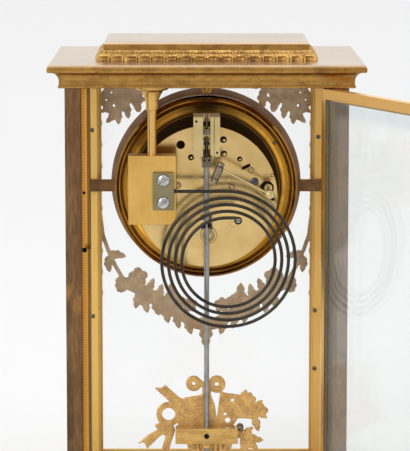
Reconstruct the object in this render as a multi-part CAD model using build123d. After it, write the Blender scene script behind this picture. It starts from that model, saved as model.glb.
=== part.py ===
from build123d import *
import os
from math import acos, atan2, cos, degrees, hypot, pi, radians, sin

# Four-glass mantel clock seen from the front along +Y; the back of the case is at +Y.
# Millimetres, +Z up, origin at the middle of the underside of the base.

# Case
CASE_WIDTH = 167.8
CASE_DEPTH = 132.0
BASE_HEIGHT = 24.2
PILLAR_HEIGHT = 255.8
CORNICE_HEIGHT = 14.0
MOULDING_REACH = 10.0
MOULDING_NECK = 3.2
MOULDING_LIP = 1.0
SOLE_THICKNESS = 3.0
BASE_WALL = 6.0

# Pillars and side glasses
PILLAR_WIDTH = 14.6
PILLAR_FACE = 9.2
SIDE_GLASS_THICKNESS = 3.0
SIDE_GLASS_BITE = 2.5
SIDE_GLASS_INSET = 4.0

# Stepped top
PLINTH_SIDE_INSET = 27.2
PLINTH_END_INSET = 31.0
PLINTH_HEIGHT = 6.4
CAP_HEIGHT = 4.4
CAP_INSET = 5.1
STUD_RADIUS = 1.5
STUD_NUT_RADIUS = 3.0
STUD_NUT_HEIGHT = 7.0
STUD_FROM_EDGE = 7.0

# Doors
DOOR_THICKNESS = 5.5
STILE_WIDTH = 7.3
DOOR_SIDE_GAP = 0.5
DOOR_END_GAP = 0.5
DOOR_SEAT_GAP = 0.3
REAR_DOOR_OPEN_DEG = 116.0
HINGE_PIN_RADIUS = 1.0
HINGE_PIN_GRIP = 6.0
HINGE_PIN_REACH = 3.0
HOLE_END_GAP = 1.0
HINGE_FROM_EDGE = 2.4
HINGE_FROM_FACE = 1.5
GLASS_EDGE = 1.8
GLASS_CROWN = 1.2
GLASS_BEVEL = 8.0
GLASS_BITE = 1.2
GLASS_SEAT = 2.4
REAR_CATCH_HEIGHT = 185.0
CATCH_BELOW_GARLAND = 24.0
CATCH_RADIUS = 1.4
CATCH_REACH = 3.5
KNOB_RADIUS = 3.2
KNOB_COLLAR = 0.8
KNOB_NECK = 1.2

# Dial, rim and brackets
BEZEL_HEADROOM = 10.4
BEZEL_RADIUS = 60.3
BEZEL_THICKNESS = 3.0
BEZEL_SIGHT = 50.5
RIM_RADIUS = 57.5
RIM_WALL = 7.5
RIM_DEPTH = 22.4
DIAL_RADIUS = 53.9
DIAL_THICKNESS = 1.8
BRACKET_HEIGHT = 7.7
BRACKET_THICKNESS = 3.0
BRACKET_LAP = 7.0
BRACKET_DROP = 2.0

# Movement
BACK_PLATE_RADIUS = 43.3
FRONT_PLATE_RADIUS = 52.0
PLATE_THICKNESS = 2.5
BACK_PLATE_GAP = 3.5
MOVEMENT_PILLAR_RADIUS = 3.0
MOVEMENT_PILLAR_CIRCLE = 38.5
MODULE = 0.6
WHEEL_THICKNESS = 1.5
ARBOR_RADIUS = 1.2
PIVOT_RADIUS = 0.8
BARREL_ARBOR_RADIUS = 2.2
BARREL_LENGTH = 18.0
BARREL_SPREAD = 16.0
BARREL_DROP = 17.0
BARREL_PIVOT_RADIUS = 1.6
BARREL_GAP = 3.0
BARREL_TEETH = 50
WHEEL_TEETH = 42
PINION_TEETH = 10
PINION_LENGTH = 3.5
PINION_OVERHANG = 1.0
PIN_WHEEL_TEETH = 30
LIFTING_PINS = 8
LIFTING_PIN_LENGTH = 3.0
ESCAPE_TEETH = 24
ESCAPE_RADIUS = 9.0
CANNON_TEETH = 12
MINUTE_TEETH = 36
MINUTE_PINION_TEETH = 10
HOUR_TEETH = 40
TOOTH_ADDENDUM = 0.6
TOOTH_DEDENDUM = 1.1
SPOKE_RIM = 2.2
SPOKE_WIDTH = 1.6
HUB_RADIUS = 3.2
THIRD_ANGLE = 140.0
PIN_WHEEL_ANGLE = 141.0
FLY_ANGLE = 72.0
PALLET_REACH = 13.8
CENTRE_WHEEL_GAP = 4.0
SECOND_WHEEL_GAP = 3.0
THIRD_WHEEL_GAP = 3.5
ESCAPE_GAP = 3.0
FLY_RADIUS = 5.0
FLY_GAP = 6.5
FLY_LENGTH = 18.0
MOVEMENT_PILLAR_ANGLES = (40, 140, 250, 290)
SIGHT_HOLE = (15.7, 31.8)
SIGHT_HOLE_RADIUS = 2.6
SLOT_PLACE = (-24.0, 18.2)
SLOT_TILT = -27.0
SLOT_LENGTH = 6.0

# Motion work and hands
CANNON_RADIUS = 1.5
HOUR_PIPE_RADIUS = 2.6
CANNON_END = 1.0
CANNON_DRIVE_LAP = 0.5
MINUTE_WHEEL_GAP = 5.0
HOUR_WHEEL_GAP = 4.0
HOUR_HAND_LIFT = 3.2
MINUTE_HAND_LIFT = 1.8
HAND_THICKNESS = 0.8
HOUR_HAND_REACH = 28.0
MINUTE_HAND_REACH = 42.0
HOUR_HAND_HALF = 1.4
MINUTE_HAND_HALF = 1.2
WINDING_SQUARE = 4.0
WINDING_SQUARE_SUNK = 3.0

# Pendulum and crutch
SUSPENSION_RISE = 40.2
PENDULUM_SETBACK = 20.0
ROD_RADIUS = 1.55
ROD_END = 3.0
BOB_CLEARANCE = 41.1
BOB_WIDTH = 38.0
BOB_BLOCK_HEIGHT = 9.5
BOB_DEPTH = 10.0
TROPHY_THICKNESS = 3.0
CHEEK_HALF = 8.0
CHEEK_SLOT_HALF = 2.2
CHEEK_BELOW = 12.8
CHEEK_ABOVE = 11.1
CHEEK_REACH = 6.0
BRIDGE_HEIGHT = 4.5
POST_WIDTH = 2.0
POST_GROOVE = 0.6
SHORT_POST_RISE = 7.0
REGULATOR_RISE = 1.5
CHOP_DEPTH = 8.0
CHOP_HEIGHT = 3.0
SPRING_HALF = 0.15
LOWER_CHOP_HALF = 3.0
LOWER_CHOP_HEIGHT = 6.0
RATING_NUT_RADIUS = 4.0
RATING_NUT_HEIGHT = 3.0
PALLET_CLEARANCE = 1.4
PALLET_WIDTH = 2.0
CRUTCH_SETBACK = 8.0
CRUTCH_RADIUS = 0.9
FORK_DROP = 15.3
FORK_DEPTH = 7.2
FORK_WALL = 1.4
FORK_CLEARANCE = 0.45
TROPHY_HALF = 41.5
TROPHY_RISE = 5.7
STEM_WIDTH = 2.6
LEAF_SPREAD = 38.0
LEAF_PLUMPNESS = 0.5

# Gong
GONG_WIRE_RADIUS = 1.15
GONG_TURNS = 4
GONG_PITCH = 4.0
GONG_OUTER_RADIUS = 41.0
GONG_CENTRE_X = -12.0
GONG_TOP_RISE = 7.7
GONG_BLOCK_LEFT = 18.4
GONG_BLOCK_WIDTH = 28.6
GONG_BLOCK_BELOW = 20.3
GONG_BLOCK_HEIGHT = 41.5
GONG_BLOCK_DEPTH = 12.0
GONG_SETBACK = 13.0
GONG_POST_RADIUS = 2.4
GONG_BOSS_RADIUS = 7.5
GONG_BOSS_HEIGHT = 15.0
CLAMP_WIDTH = 12.4
CLAMP_HEIGHT = 22.4
CLAMP_THICKNESS = 3.2
CLAMP_SCREW_RADIUS = 3.85
CLAMP_SCREW_HEAD = 2.0
CLAMP_SCREW_RISE = 6.7
CLAMP_SHANK_RADIUS = 1.5
CLAMP_SHANK = 5.0
CLAMP_MARGIN = 1.3
SLOT_WIDTH = 1.2
SCREW_TURN = 55.0

# Hammer
HAMMER_ARBOR_X = -37.6
HAMMER_ARBOR_RISE = 5.8
HAMMER_HEAD_RADIUS = 2.4
HAMMER_HEAD_LENGTH = 12.8
HAMMER_LIFT_GAP = 4.0
HAMMER_ARM_RADIUS = 0.8
HAMMER_STRIKE_OFFSET = 7.8
HAMMER_TILT = 21.5
TAIL_LENGTH = 4.0
HAMMER_COLLAR = 4.0

# Ornament on the front door
GARLAND_THICKNESS = 3.0
SWAG_BODY = 8.0
DROP_LEAF = 4.5
DROP_LEAVES = 10
DROP_BELOW_DOOR_TOP = 17.5
DROP_LENGTH = 138.0
SWAG_BELOW_DOOR_TOP = 92.5
SWAG_DEPTH = 76.0
PENDANT_LEAF = 17.0
GARLAND_SCREW_RADIUS = 0.6
GARLAND_SCREW_INSET = 0.85
GARLAND_HINGE_ROOM = 2.0
GARLAND_SCREW_DROPS = (35.5, 153.5)

# Clearances
RUNNING_FIT = 0.05
TIGHT_FIT = 0.01
WORKING_GAP = 0.3

# Places that follow from the sizes above
HALF_WIDTH = CASE_WIDTH / 2
HALF_DEPTH = CASE_DEPTH / 2
PILLAR_TOP = BASE_HEIGHT + PILLAR_HEIGHT
CORNICE_TOP = PILLAR_TOP + CORNICE_HEIGHT
PLINTH_TOP = CORNICE_TOP + PLINTH_HEIGHT
CAP_TOP = PLINTH_TOP + CAP_HEIGHT
PILLAR_INNER = HALF_WIDTH - PILLAR_WIDTH
PILLAR_BACK = HALF_DEPTH - PILLAR_WIDTH
MOULDING_HALF_X = HALF_WIDTH + MOULDING_REACH
MOULDING_HALF_Y = HALF_DEPTH + MOULDING_REACH
DOOR_HALF = HALF_WIDTH - PILLAR_FACE - DOOR_SIDE_GAP
DOOR_BOTTOM = BASE_HEIGHT + DOOR_END_GAP
DOOR_TOP = PILLAR_TOP - DOOR_END_GAP
DOOR_INNER_FACE = HALF_DEPTH - DOOR_THICKNESS
HINGE_X = -DOOR_HALF + HINGE_FROM_EDGE
HINGE_Y = HALF_DEPTH - HINGE_FROM_FACE
SIGHT_HALF = DOOR_HALF - STILE_WIDTH
CATCH_X = DOOR_HALF - STILE_WIDTH / 2
GARLAND_HALF = -HINGE_X - GARLAND_HINGE_ROOM
DROP_TOP = DOOR_TOP - DROP_BELOW_DOOR_TOP
DROP_BOTTOM = DROP_TOP - DROP_LENGTH
SWAG_TOP = DOOR_TOP - SWAG_BELOW_DOOR_TOP
FRONT_CATCH_HEIGHT = DROP_BOTTOM - CATCH_BELOW_GARLAND
STUD_PLACE = MOULDING_HALF_Y - PLINTH_END_INSET - STUD_FROM_EDGE

# Depths of the movement, worked out from the dial's seat to the back
AXIS_HEIGHT = PILLAR_TOP - BEZEL_HEADROOM - BEZEL_RADIUS
BRACKET_FRONT = -PILLAR_BACK
BEZEL_FRONT = BRACKET_FRONT - BEZEL_THICKNESS
HOUR_HAND_FRONT = BRACKET_FRONT - HOUR_HAND_LIFT
MINUTE_HAND_FRONT = HOUR_HAND_FRONT - MINUTE_HAND_LIFT
RIM_REAR = BRACKET_FRONT + RIM_DEPTH
MINUTE_WHEEL_FRONT = RIM_REAR - MINUTE_WHEEL_GAP
HOUR_WHEEL_FRONT = MINUTE_WHEEL_FRONT - HOUR_WHEEL_GAP
FRONT_PLATE_REAR = RIM_REAR + PLATE_THICKNESS
CENTRE_WHEEL_FRONT = FRONT_PLATE_REAR + CENTRE_WHEEL_GAP
FLY_FRONT = FRONT_PLATE_REAR + FLY_GAP
BARREL_FRONT = CENTRE_WHEEL_FRONT + WHEEL_THICKNESS + BARREL_GAP
BARREL_REAR = BARREL_FRONT + BARREL_LENGTH
LOWER_PINION_FRONT = BARREL_REAR - WHEEL_THICKNESS - PINION_OVERHANG
SECOND_WHEEL_FRONT = BARREL_REAR + SECOND_WHEEL_GAP
THIRD_WHEEL_FRONT = SECOND_WHEEL_FRONT + WHEEL_THICKNESS + THIRD_WHEEL_GAP
ESCAPE_FRONT = THIRD_WHEEL_FRONT + WHEEL_THICKNESS + ESCAPE_GAP
BACK_PLATE_FRONT = ESCAPE_FRONT + WHEEL_THICKNESS + BACK_PLATE_GAP
BACK_PLATE_REAR = BACK_PLATE_FRONT + PLATE_THICKNESS

# Places of the pendulum, crutch and gong
PENDULUM_PLANE = BACK_PLATE_REAR + PENDULUM_SETBACK
CRUTCH_PLANE = PENDULUM_PLANE - CRUTCH_SETBACK
SUSPENSION_HEIGHT = AXIS_HEIGHT + SUSPENSION_RISE
CHEEK_BOTTOM = SUSPENSION_HEIGHT - CHEEK_BELOW
CHEEK_TOP = SUSPENSION_HEIGHT + CHEEK_ABOVE
FORK_HEIGHT = AXIS_HEIGHT - FORK_DROP
BOB_HEIGHT = BASE_HEIGHT + BOB_CLEARANCE
GONG_TOP_HEIGHT = AXIS_HEIGHT + GONG_TOP_RISE
GONG_BLOCK_BOTTOM = GONG_TOP_HEIGHT - GONG_BLOCK_BELOW
GONG_BLOCK_REAR = PENDULUM_PLANE + GONG_SETBACK
GONG_PLANE = GONG_BLOCK_REAR + GONG_WIRE_RADIUS + WORKING_GAP
GONG_LEAD_START = GONG_BLOCK_LEFT + CLAMP_WIDTH
BOTTOM_ALIGN = (Align.CENTER, Align.CENTER, Align.MIN)


def box(x_range, y_range, z_range):
    """Box between the given ends on each axis."""
    sizes = [ends[1] - ends[0] for ends in (x_range, y_range, z_range)]
    middle = [(ends[1] + ends[0]) / 2 for ends in (x_range, y_range, z_range)]
    return Pos(*middle) * Box(*sizes)


def slab(outline, front, rear):
    """Outline drawn with X to the right and Z up, given thickness from front to rear along Y."""
    return extrude(Plane.XZ.offset(-rear) * outline, amount=rear - front)


def disc(x, z, radius, front, rear):
    """Round bar along Y."""
    return slab(Pos(x, z) * Circle(radius), front, rear)


def post(x, y, radius, bottom, top):
    """Round bar along Z."""
    return Pos(x, y, bottom) * Cylinder(radius, top - bottom, align=BOTTOM_ALIGN)


def bar_between(start, end, radius):
    """Round bar from one point to another."""
    direction = Vector(*end) - Vector(*start)
    plane = Plane(origin=start, z_dir=direction)
    return plane * Cylinder(radius, direction.length, align=BOTTOM_ALIGN)


def turned_along_y(x, z, stations):
    """Turned piece on an axis along Y; stations pair a place on Y with a radius."""
    points = [(0, stations[0][0])]
    points += [(radius, place) for place, radius in stations]
    points += [(0, stations[-1][0])]
    section = make_face(Polyline(*points, close=True))
    return Pos(x, 0, z) * revolve(section, Axis.Y)


def moulded_block(half_x, half_y, edges_for):
    """Mitred moulding: the front outline and the side outline cut each other."""
    wide = 4 * max(half_x, half_y)
    prisms = []
    for plane, half in ((Plane.XZ, half_x), (Plane.YZ, half_y)):
        right = edges_for(half)
        left = [mirror(edge, Plane.YZ) for edge in right]
        face = make_face(right + left)
        prisms.append(extrude(plane.offset(-wide / 2) * face, amount=wide))
    return prisms[0] & prisms[1]


def base_edges(half):
    """Right half of the base outline: square foot, hollow cove, neck."""
    neck = half - MOULDING_REACH + MOULDING_NECK
    lip = half - MOULDING_REACH / 10
    foot_top = BASE_HEIGHT * 0.42
    cove_top = BASE_HEIGHT * 0.8
    return [
        Line((0, 0), (half, 0)),
        Line((half, 0), (half, foot_top)),
        Line((half, foot_top), (lip, foot_top + MOULDING_LIP)),
        RadiusArc((lip, foot_top + MOULDING_LIP), (neck, cove_top), (cove_top - foot_top) * 1.1),
        Line((neck, cove_top), (neck, BASE_HEIGHT)),
        Line((neck, BASE_HEIGHT), (0, BASE_HEIGHT)),
    ]


def base_plinth():
    """Hollow moulded base, open below for the sole plate, with bores for the door pins."""
    block = moulded_block(MOULDING_HALF_X, MOULDING_HALF_Y, base_edges)
    inner_x = HALF_WIDTH - BASE_WALL
    inner_y = HALF_DEPTH - BASE_WALL
    floor = BASE_HEIGHT - BASE_WALL
    block -= box((-inner_x, inner_x), (-inner_y, inner_y), (0, floor))
    bore_end = DOOR_BOTTOM - HINGE_PIN_REACH - HOLE_END_GAP
    for y in (-HINGE_Y, HINGE_Y):
        block -= post(HINGE_X, y, HINGE_PIN_RADIUS + RUNNING_FIT, bore_end, BASE_HEIGHT)
    return block


def sole_plate():
    """Plate let into the underside of the base."""
    half_x = HALF_WIDTH - BASE_WALL - TIGHT_FIT
    half_y = HALF_DEPTH - BASE_WALL - TIGHT_FIT
    return box((-half_x, half_x), (-half_y, half_y), (0, SOLE_THICKNESS))


def cornice_edges(half):
    """Right half of the cornice outline: neck, cove, lip, rounded top edge."""
    neck = half - MOULDING_REACH + MOULDING_NECK
    neck_top = PILLAR_TOP + CORNICE_HEIGHT * 0.34
    lip_bottom = PILLAR_TOP + CORNICE_HEIGHT * 0.68
    lip_top = PILLAR_TOP + CORNICE_HEIGHT * 0.78
    lip = half - MOULDING_REACH / 20
    top = half - MOULDING_REACH / 8
    return [
        Line((0, PILLAR_TOP), (neck, PILLAR_TOP)),
        Line((neck, PILLAR_TOP), (neck, neck_top)),
        RadiusArc((neck, neck_top), (lip, lip_bottom), (lip - neck) * 0.85),
        Line((lip, lip_bottom), (half, lip_top)),
        RadiusArc((half, lip_top), (top, CORNICE_TOP), -CORNICE_HEIGHT * 0.3),
        Line((top, CORNICE_TOP), (0, CORNICE_TOP)),
    ]


def cornice():
    """Moulded top of the case, bored for the door pins and the stud of the cap."""
    block = moulded_block(MOULDING_HALF_X, MOULDING_HALF_Y, cornice_edges)
    bore_end = DOOR_TOP + HINGE_PIN_REACH + HOLE_END_GAP
    for y in (-HINGE_Y, HINGE_Y):
        block -= post(HINGE_X, y, HINGE_PIN_RADIUS + RUNNING_FIT, PILLAR_TOP, bore_end)
    block -= post(0, STUD_PLACE, STUD_RADIUS + TIGHT_FIT, PILLAR_TOP, CORNICE_TOP)
    return block


def plinth_edges(half):
    """Right half of the leaf band: upright foot, then a hollow slope up to the cap."""
    foot_top = CORNICE_TOP + PLINTH_HEIGHT * 0.45
    crest = half - CAP_INSET
    return [
        Line((0, CORNICE_TOP), (half, CORNICE_TOP)),
        RadiusArc((half, CORNICE_TOP), (half, foot_top), -PLINTH_HEIGHT * 0.5),
        RadiusArc((half, foot_top), (crest, PLINTH_TOP), PLINTH_HEIGHT * 1.2),
        Line((crest, PLINTH_TOP), (0, PLINTH_TOP)),
    ]


def cap_edges(half):
    """Right half of the cap outline."""
    top = half - CAP_HEIGHT * 0.25
    edge_top = CAP_TOP - CAP_HEIGHT * 0.25
    return [
        Line((0, PLINTH_TOP), (half, PLINTH_TOP)),
        Line((half, PLINTH_TOP), (half, edge_top)),
        Line((half, edge_top), (top, CAP_TOP)),
        Line((top, CAP_TOP), (0, CAP_TOP)),
    ]


def cap_stud():
    """Stud with a conical nut that holds the stepped top from inside the case."""
    nut = Pos(0, STUD_PLACE, PILLAR_TOP - STUD_NUT_HEIGHT / 2) * Cone(
        STUD_NUT_RADIUS * 0.45, STUD_NUT_RADIUS, STUD_NUT_HEIGHT
    )
    return nut + post(0, STUD_PLACE, STUD_RADIUS, PILLAR_TOP, CORNICE_TOP)


def rear_right_pillar(catch_height):
    """Corner pillar: rebate for the door, slot for the side glass, hole for the door catch."""
    solid = box((PILLAR_INNER, HALF_WIDTH), (PILLAR_BACK, HALF_DEPTH), (BASE_HEIGHT, PILLAR_TOP))
    seat = DOOR_INNER_FACE - DOOR_SEAT_GAP
    wall = HALF_WIDTH - PILLAR_FACE
    solid -= box((PILLAR_INNER, wall), (seat, HALF_DEPTH), (BASE_HEIGHT, PILLAR_TOP))
    glass_outer = HALF_WIDTH - SIDE_GLASS_INSET
    glass_inner = glass_outer - SIDE_GLASS_THICKNESS
    slot_end = PILLAR_BACK + SIDE_GLASS_BITE
    solid -= box((glass_inner, glass_outer), (PILLAR_BACK, slot_end), (BASE_HEIGHT, PILLAR_TOP))
    hole_front = DOOR_INNER_FACE - CATCH_REACH - HOLE_END_GAP
    solid -= disc(CATCH_X, catch_height, CATCH_RADIUS + DOOR_SIDE_GAP, hole_front, HALF_DEPTH)
    return solid


def side_glass():
    """Flat bevelled pane on the right-hand side."""
    outer = HALF_WIDTH - SIDE_GLASS_INSET
    bite = SIDE_GLASS_BITE - RUNNING_FIT
    half = PILLAR_BACK + bite
    return box((outer - SIDE_GLASS_THICKNESS, outer), (-half, half), (BASE_HEIGHT, PILLAR_TOP))


def door_plan():
    """Plan of a closed rear door, with the hinge edge eased so that it can turn in its rebate."""
    ease = HINGE_FROM_EDGE / 3
    outer = HALF_DEPTH
    inner = DOOR_INNER_FACE
    return make_face(Polyline(
        (-DOOR_HALF, inner + ease),
        (-DOOR_HALF + HINGE_FROM_EDGE, inner),
        (DOOR_HALF, inner),
        (DOOR_HALF, outer),
        (-DOOR_HALF + ease, outer),
        (-DOOR_HALF, outer - ease),
        close=True,
    ))


def door_frame(catch_height):
    """Brass frame of a closed rear door, rebated inside for its glass."""
    frame = extrude(Pos(0, 0, DOOR_BOTTOM) * door_plan(), amount=DOOR_TOP - DOOR_BOTTOM)
    sight_z = (DOOR_BOTTOM + STILE_WIDTH, DOOR_TOP - STILE_WIDTH)
    frame -= box((-SIGHT_HALF, SIGHT_HALF), (DOOR_INNER_FACE, HALF_DEPTH), sight_z)
    rebate = SIGHT_HALF + GLASS_BITE
    rebate_z = (sight_z[0] - GLASS_BITE, sight_z[1] + GLASS_BITE)
    frame -= box((-rebate, rebate), (DOOR_INNER_FACE, DOOR_INNER_FACE + GLASS_SEAT), rebate_z)
    pin_bore = HINGE_PIN_RADIUS + TIGHT_FIT
    frame -= post(HINGE_X, HINGE_Y, pin_bore, DOOR_BOTTOM, DOOR_BOTTOM + HINGE_PIN_GRIP)
    frame -= post(HINGE_X, HINGE_Y, pin_bore, DOOR_TOP - HINGE_PIN_GRIP, DOOR_TOP)
    frame -= disc(CATCH_X, catch_height, CATCH_RADIUS + TIGHT_FIT, DOOR_INNER_FACE, HALF_DEPTH)
    return frame


def door_glass():
    """Pane with a broad bevel on its outer face."""
    middle = (DOOR_BOTTOM + DOOR_TOP) / 2
    sight_height = DOOR_TOP - DOOR_BOTTOM - 2 * STILE_WIDTH
    rim = GLASS_BITE - 2 * RUNNING_FIT
    rear = DOOR_INNER_FACE + GLASS_SEAT
    sheet = Pos(0, middle) * Rectangle(2 * (SIGHT_HALF + rim), sight_height + 2 * rim)
    pane = slab(sheet, rear - GLASS_EDGE, rear)
    foot = Pos(0, middle) * Rectangle(2 * SIGHT_HALF - 2 * RUNNING_FIT, sight_height - 2 * RUNNING_FIT)
    crown = Pos(0, middle) * Rectangle(2 * (SIGHT_HALF - GLASS_BEVEL), sight_height - 2 * GLASS_BEVEL)
    bevel = loft([Plane.XZ.offset(-rear) * foot, Plane.XZ.offset(-rear - GLASS_CROWN) * crown])
    return pane + bevel


def door_pins():
    """Hinge pins let into the door's top and bottom edges."""
    ends = (
        (DOOR_BOTTOM - HINGE_PIN_REACH, DOOR_BOTTOM + HINGE_PIN_GRIP),
        (DOOR_TOP - HINGE_PIN_GRIP, DOOR_TOP + HINGE_PIN_REACH),
    )
    return Compound(children=[post(HINGE_X, HINGE_Y, HINGE_PIN_RADIUS, *pair) for pair in ends])


def door_catch(catch_height):
    """Turned pull knob whose shank passes through the stile and snaps into the pillar."""
    collar = HALF_DEPTH + KNOB_COLLAR
    centre = collar + KNOB_NECK + KNOB_RADIUS
    stations = [
        (DOOR_INNER_FACE - CATCH_REACH, CATCH_RADIUS * 0.6),
        (DOOR_INNER_FACE - CATCH_REACH * 0.7, CATCH_RADIUS),
        (HALF_DEPTH, CATCH_RADIUS),
        (HALF_DEPTH, CATCH_RADIUS * 1.9),
        (collar, CATCH_RADIUS * 1.9),
        (collar, CATCH_RADIUS * 0.9),
    ]
    for step in range(6):
        angle = radians(-60 + 28 * step)
        stations.append((centre + KNOB_RADIUS * sin(angle), KNOB_RADIUS * cos(angle)))
    return turned_along_y(CATCH_X, catch_height, stations)


def turned_ring(points):
    """Ring about the movement's axis; points pair a radius with a place on Y."""
    section = make_face(Polyline(*points, close=True))
    return Pos(0, 0, AXIS_HEIGHT) * revolve(section, Axis.Y)


def bezel_ring():
    """Gilt ring in front of the dial."""
    edge = BEZEL_THICKNESS / 3
    return turned_ring([
        (BEZEL_SIGHT, BRACKET_FRONT),
        (BEZEL_RADIUS, BRACKET_FRONT),
        (BEZEL_RADIUS, BRACKET_FRONT - edge),
        (BEZEL_RADIUS - edge, BEZEL_FRONT + edge / 2),
        (BEZEL_RADIUS - 3 * edge, BEZEL_FRONT),
        (BEZEL_SIGHT + 3 * edge, BEZEL_FRONT),
        (BEZEL_SIGHT, BRACKET_FRONT - edge),
    ])


def bracket(side):
    """Flat strap from the rim to the back of a front pillar; side is -1 or 1."""
    ends = sorted((side * (DIAL_RADIUS + WORKING_GAP), side * (PILLAR_INNER + BRACKET_LAP)))
    low = AXIS_HEIGHT - BRACKET_DROP - BRACKET_HEIGHT / 2
    return box(ends, (BRACKET_FRONT, BRACKET_FRONT + BRACKET_THICKNESS), (low, low + BRACKET_HEIGHT))


def movement_rim():
    """Moulded rim that carries the front plate and the dial, notched for the brackets."""
    bore = RIM_RADIUS - RIM_WALL
    seat = FRONT_PLATE_RADIUS + RUNNING_FIT
    bead = (RIM_RADIUS - seat) / 3
    rear = FRONT_PLATE_REAR
    dial_seat = DIAL_RADIUS + RUNNING_FIT
    rim = turned_ring([
        (bore, RIM_REAR),
        (seat, RIM_REAR),
        (seat, rear),
        (seat + bead / 2, rear + bead / 2),
        (seat + bead, rear),
        (seat + bead, rear - bead / 2),
        (seat + 1.6 * bead, rear - bead / 2),
        (seat + 1.6 * bead, rear),
        (seat + 2.3 * bead, rear + bead / 2),
        (RIM_RADIUS, rear - bead / 2),
        (RIM_RADIUS, BRACKET_FRONT),
        (dial_seat, BRACKET_FRONT),
        (dial_seat, BRACKET_FRONT + DIAL_THICKNESS),
        (bore, BRACKET_FRONT + DIAL_THICKNESS),
    ])
    for side in (-1, 1):
        rim -= bracket(side)
    return rim


def pitch_radius(teeth):
    return MODULE * teeth / 2


def meeting_place(first, first_reach, second, second_reach):
    """Right-hand point at the given distances from two places."""
    across = second[0] - first[0]
    up = second[1] - first[1]
    span = hypot(across, up)
    turn = acos((first_reach ** 2 + span ** 2 - second_reach ** 2) / (2 * first_reach * span))
    angle = atan2(up, across) - turn
    return (first[0] + first_reach * cos(angle), first[1] + first_reach * sin(angle))


def polar(centre, reach, angle_deg):
    angle = radians(angle_deg)
    return (centre[0] + reach * cos(angle), centre[1] + reach * sin(angle))


BARREL_PHASE = 0
WHEEL_PHASE = 0

# Places of the arbors, as X and the rise above the movement's axis
CENTRE = (0, 0)
GOING = (BARREL_SPREAD, -BARREL_DROP)
STRIKING = (-BARREL_SPREAD, -BARREL_DROP)
BARREL_MESH = pitch_radius(BARREL_TEETH + PINION_TEETH)
WHEEL_MESH = pitch_radius(WHEEL_TEETH + PINION_TEETH)
INTERMEDIATE = meeting_place(GOING, BARREL_MESH, CENTRE, WHEEL_MESH)
THIRD = polar(CENTRE, WHEEL_MESH, THIRD_ANGLE)
ESCAPE = polar(THIRD, WHEEL_MESH, 180 - THIRD_ANGLE)
PALLET = (0, ESCAPE[1] + PALLET_REACH)
PIN_WHEEL = polar(STRIKING, BARREL_MESH, PIN_WHEEL_ANGLE)
FLY = polar(PIN_WHEEL, pitch_radius(PIN_WHEEL_TEETH + PINION_TEETH), FLY_ANGLE)
HAMMER = (HAMMER_ARBOR_X, HAMMER_ARBOR_RISE)
MINUTE_STUD = (0, pitch_radius(CANNON_TEETH + MINUTE_TEETH))
PLAIN_ARBORS = (INTERMEDIATE, THIRD, ESCAPE, PIN_WHEEL, FLY)
BARREL_ARBORS = (GOING, STRIKING)


def direction_deg(start, end):
    return degrees(atan2(end[1] - start[1], end[0] - start[0]))


def mating_phase(driver, driver_teeth, driver_phase, follower, follower_teeth):
    """Angle of a follower's tooth that puts its gap on the driver's tooth."""
    line = direction_deg(driver, follower)
    share = ((line - driver_phase) * driver_teeth / 360) % 1
    return line + 180 + (share + 0.5) * 360 / follower_teeth


def toothed_outline(teeth, module, phase):
    """Toothed circle with a tooth centred on the phase angle."""
    pitch = 2 * pi / teeth
    tip = module * teeth / 2 + TOOTH_ADDENDUM * module
    root = module * teeth / 2 - TOOTH_DEDENDUM * module
    points = []
    for tooth in range(teeth):
        middle = radians(phase) + tooth * pitch
        for radius, share in ((root, -0.24), (tip, -0.11), (tip, 0.11), (root, 0.24)):
            angle = middle + share * pitch
            points.append((radius * cos(angle), radius * sin(angle)))
    return make_face(Polyline(*points, close=True))


def at(place, sketch):
    """Sketch moved to an arbor."""
    return Pos(place[0], AXIS_HEIGHT + place[1]) * sketch


def round_bar(place, radius, front, rear):
    return disc(place[0], AXIS_HEIGHT + place[1], radius, front, rear)


def gear(place, teeth, phase, front, thickness, module=MODULE):
    return slab(at(place, toothed_outline(teeth, module, phase)), front, front + thickness)


def crossed_wheel(place, teeth, phase, front, module=MODULE):
    """Toothed wheel with four spokes."""
    outline = toothed_outline(teeth, module, phase)
    rim = module * teeth / 2 - SPOKE_RIM
    window = Circle(rim) - Circle(HUB_RADIUS)
    window -= Rectangle(2 * rim, SPOKE_WIDTH)
    window -= Rectangle(SPOKE_WIDTH, 2 * rim)
    return slab(at(place, outline - window), front, front + WHEEL_THICKNESS)


def arbor(place):
    """Arbor between the plates with a pivot in each."""
    shaft = round_bar(place, ARBOR_RADIUS, FRONT_PLATE_REAR + WORKING_GAP, BACK_PLATE_FRONT - WORKING_GAP)
    return shaft + round_bar(place, PIVOT_RADIUS, RIM_REAR, BACK_PLATE_REAR)


def front_plate():
    """Large front plate with a hole for every arbor."""
    plate = Circle(FRONT_PLATE_RADIUS)
    for place in PLAIN_ARBORS + (PALLET, HAMMER):
        plate -= Pos(*place) * Circle(PIVOT_RADIUS + RUNNING_FIT)
    for place in BARREL_ARBORS:
        plate -= Pos(*place) * Circle(BARREL_ARBOR_RADIUS + RUNNING_FIT)
    plate -= Circle(CANNON_RADIUS + RUNNING_FIT)
    plate -= Pos(*MINUTE_STUD) * Circle(PIVOT_RADIUS + TIGHT_FIT)
    return slab(Pos(0, AXIS_HEIGHT) * plate, RIM_REAR, FRONT_PLATE_REAR)


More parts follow.
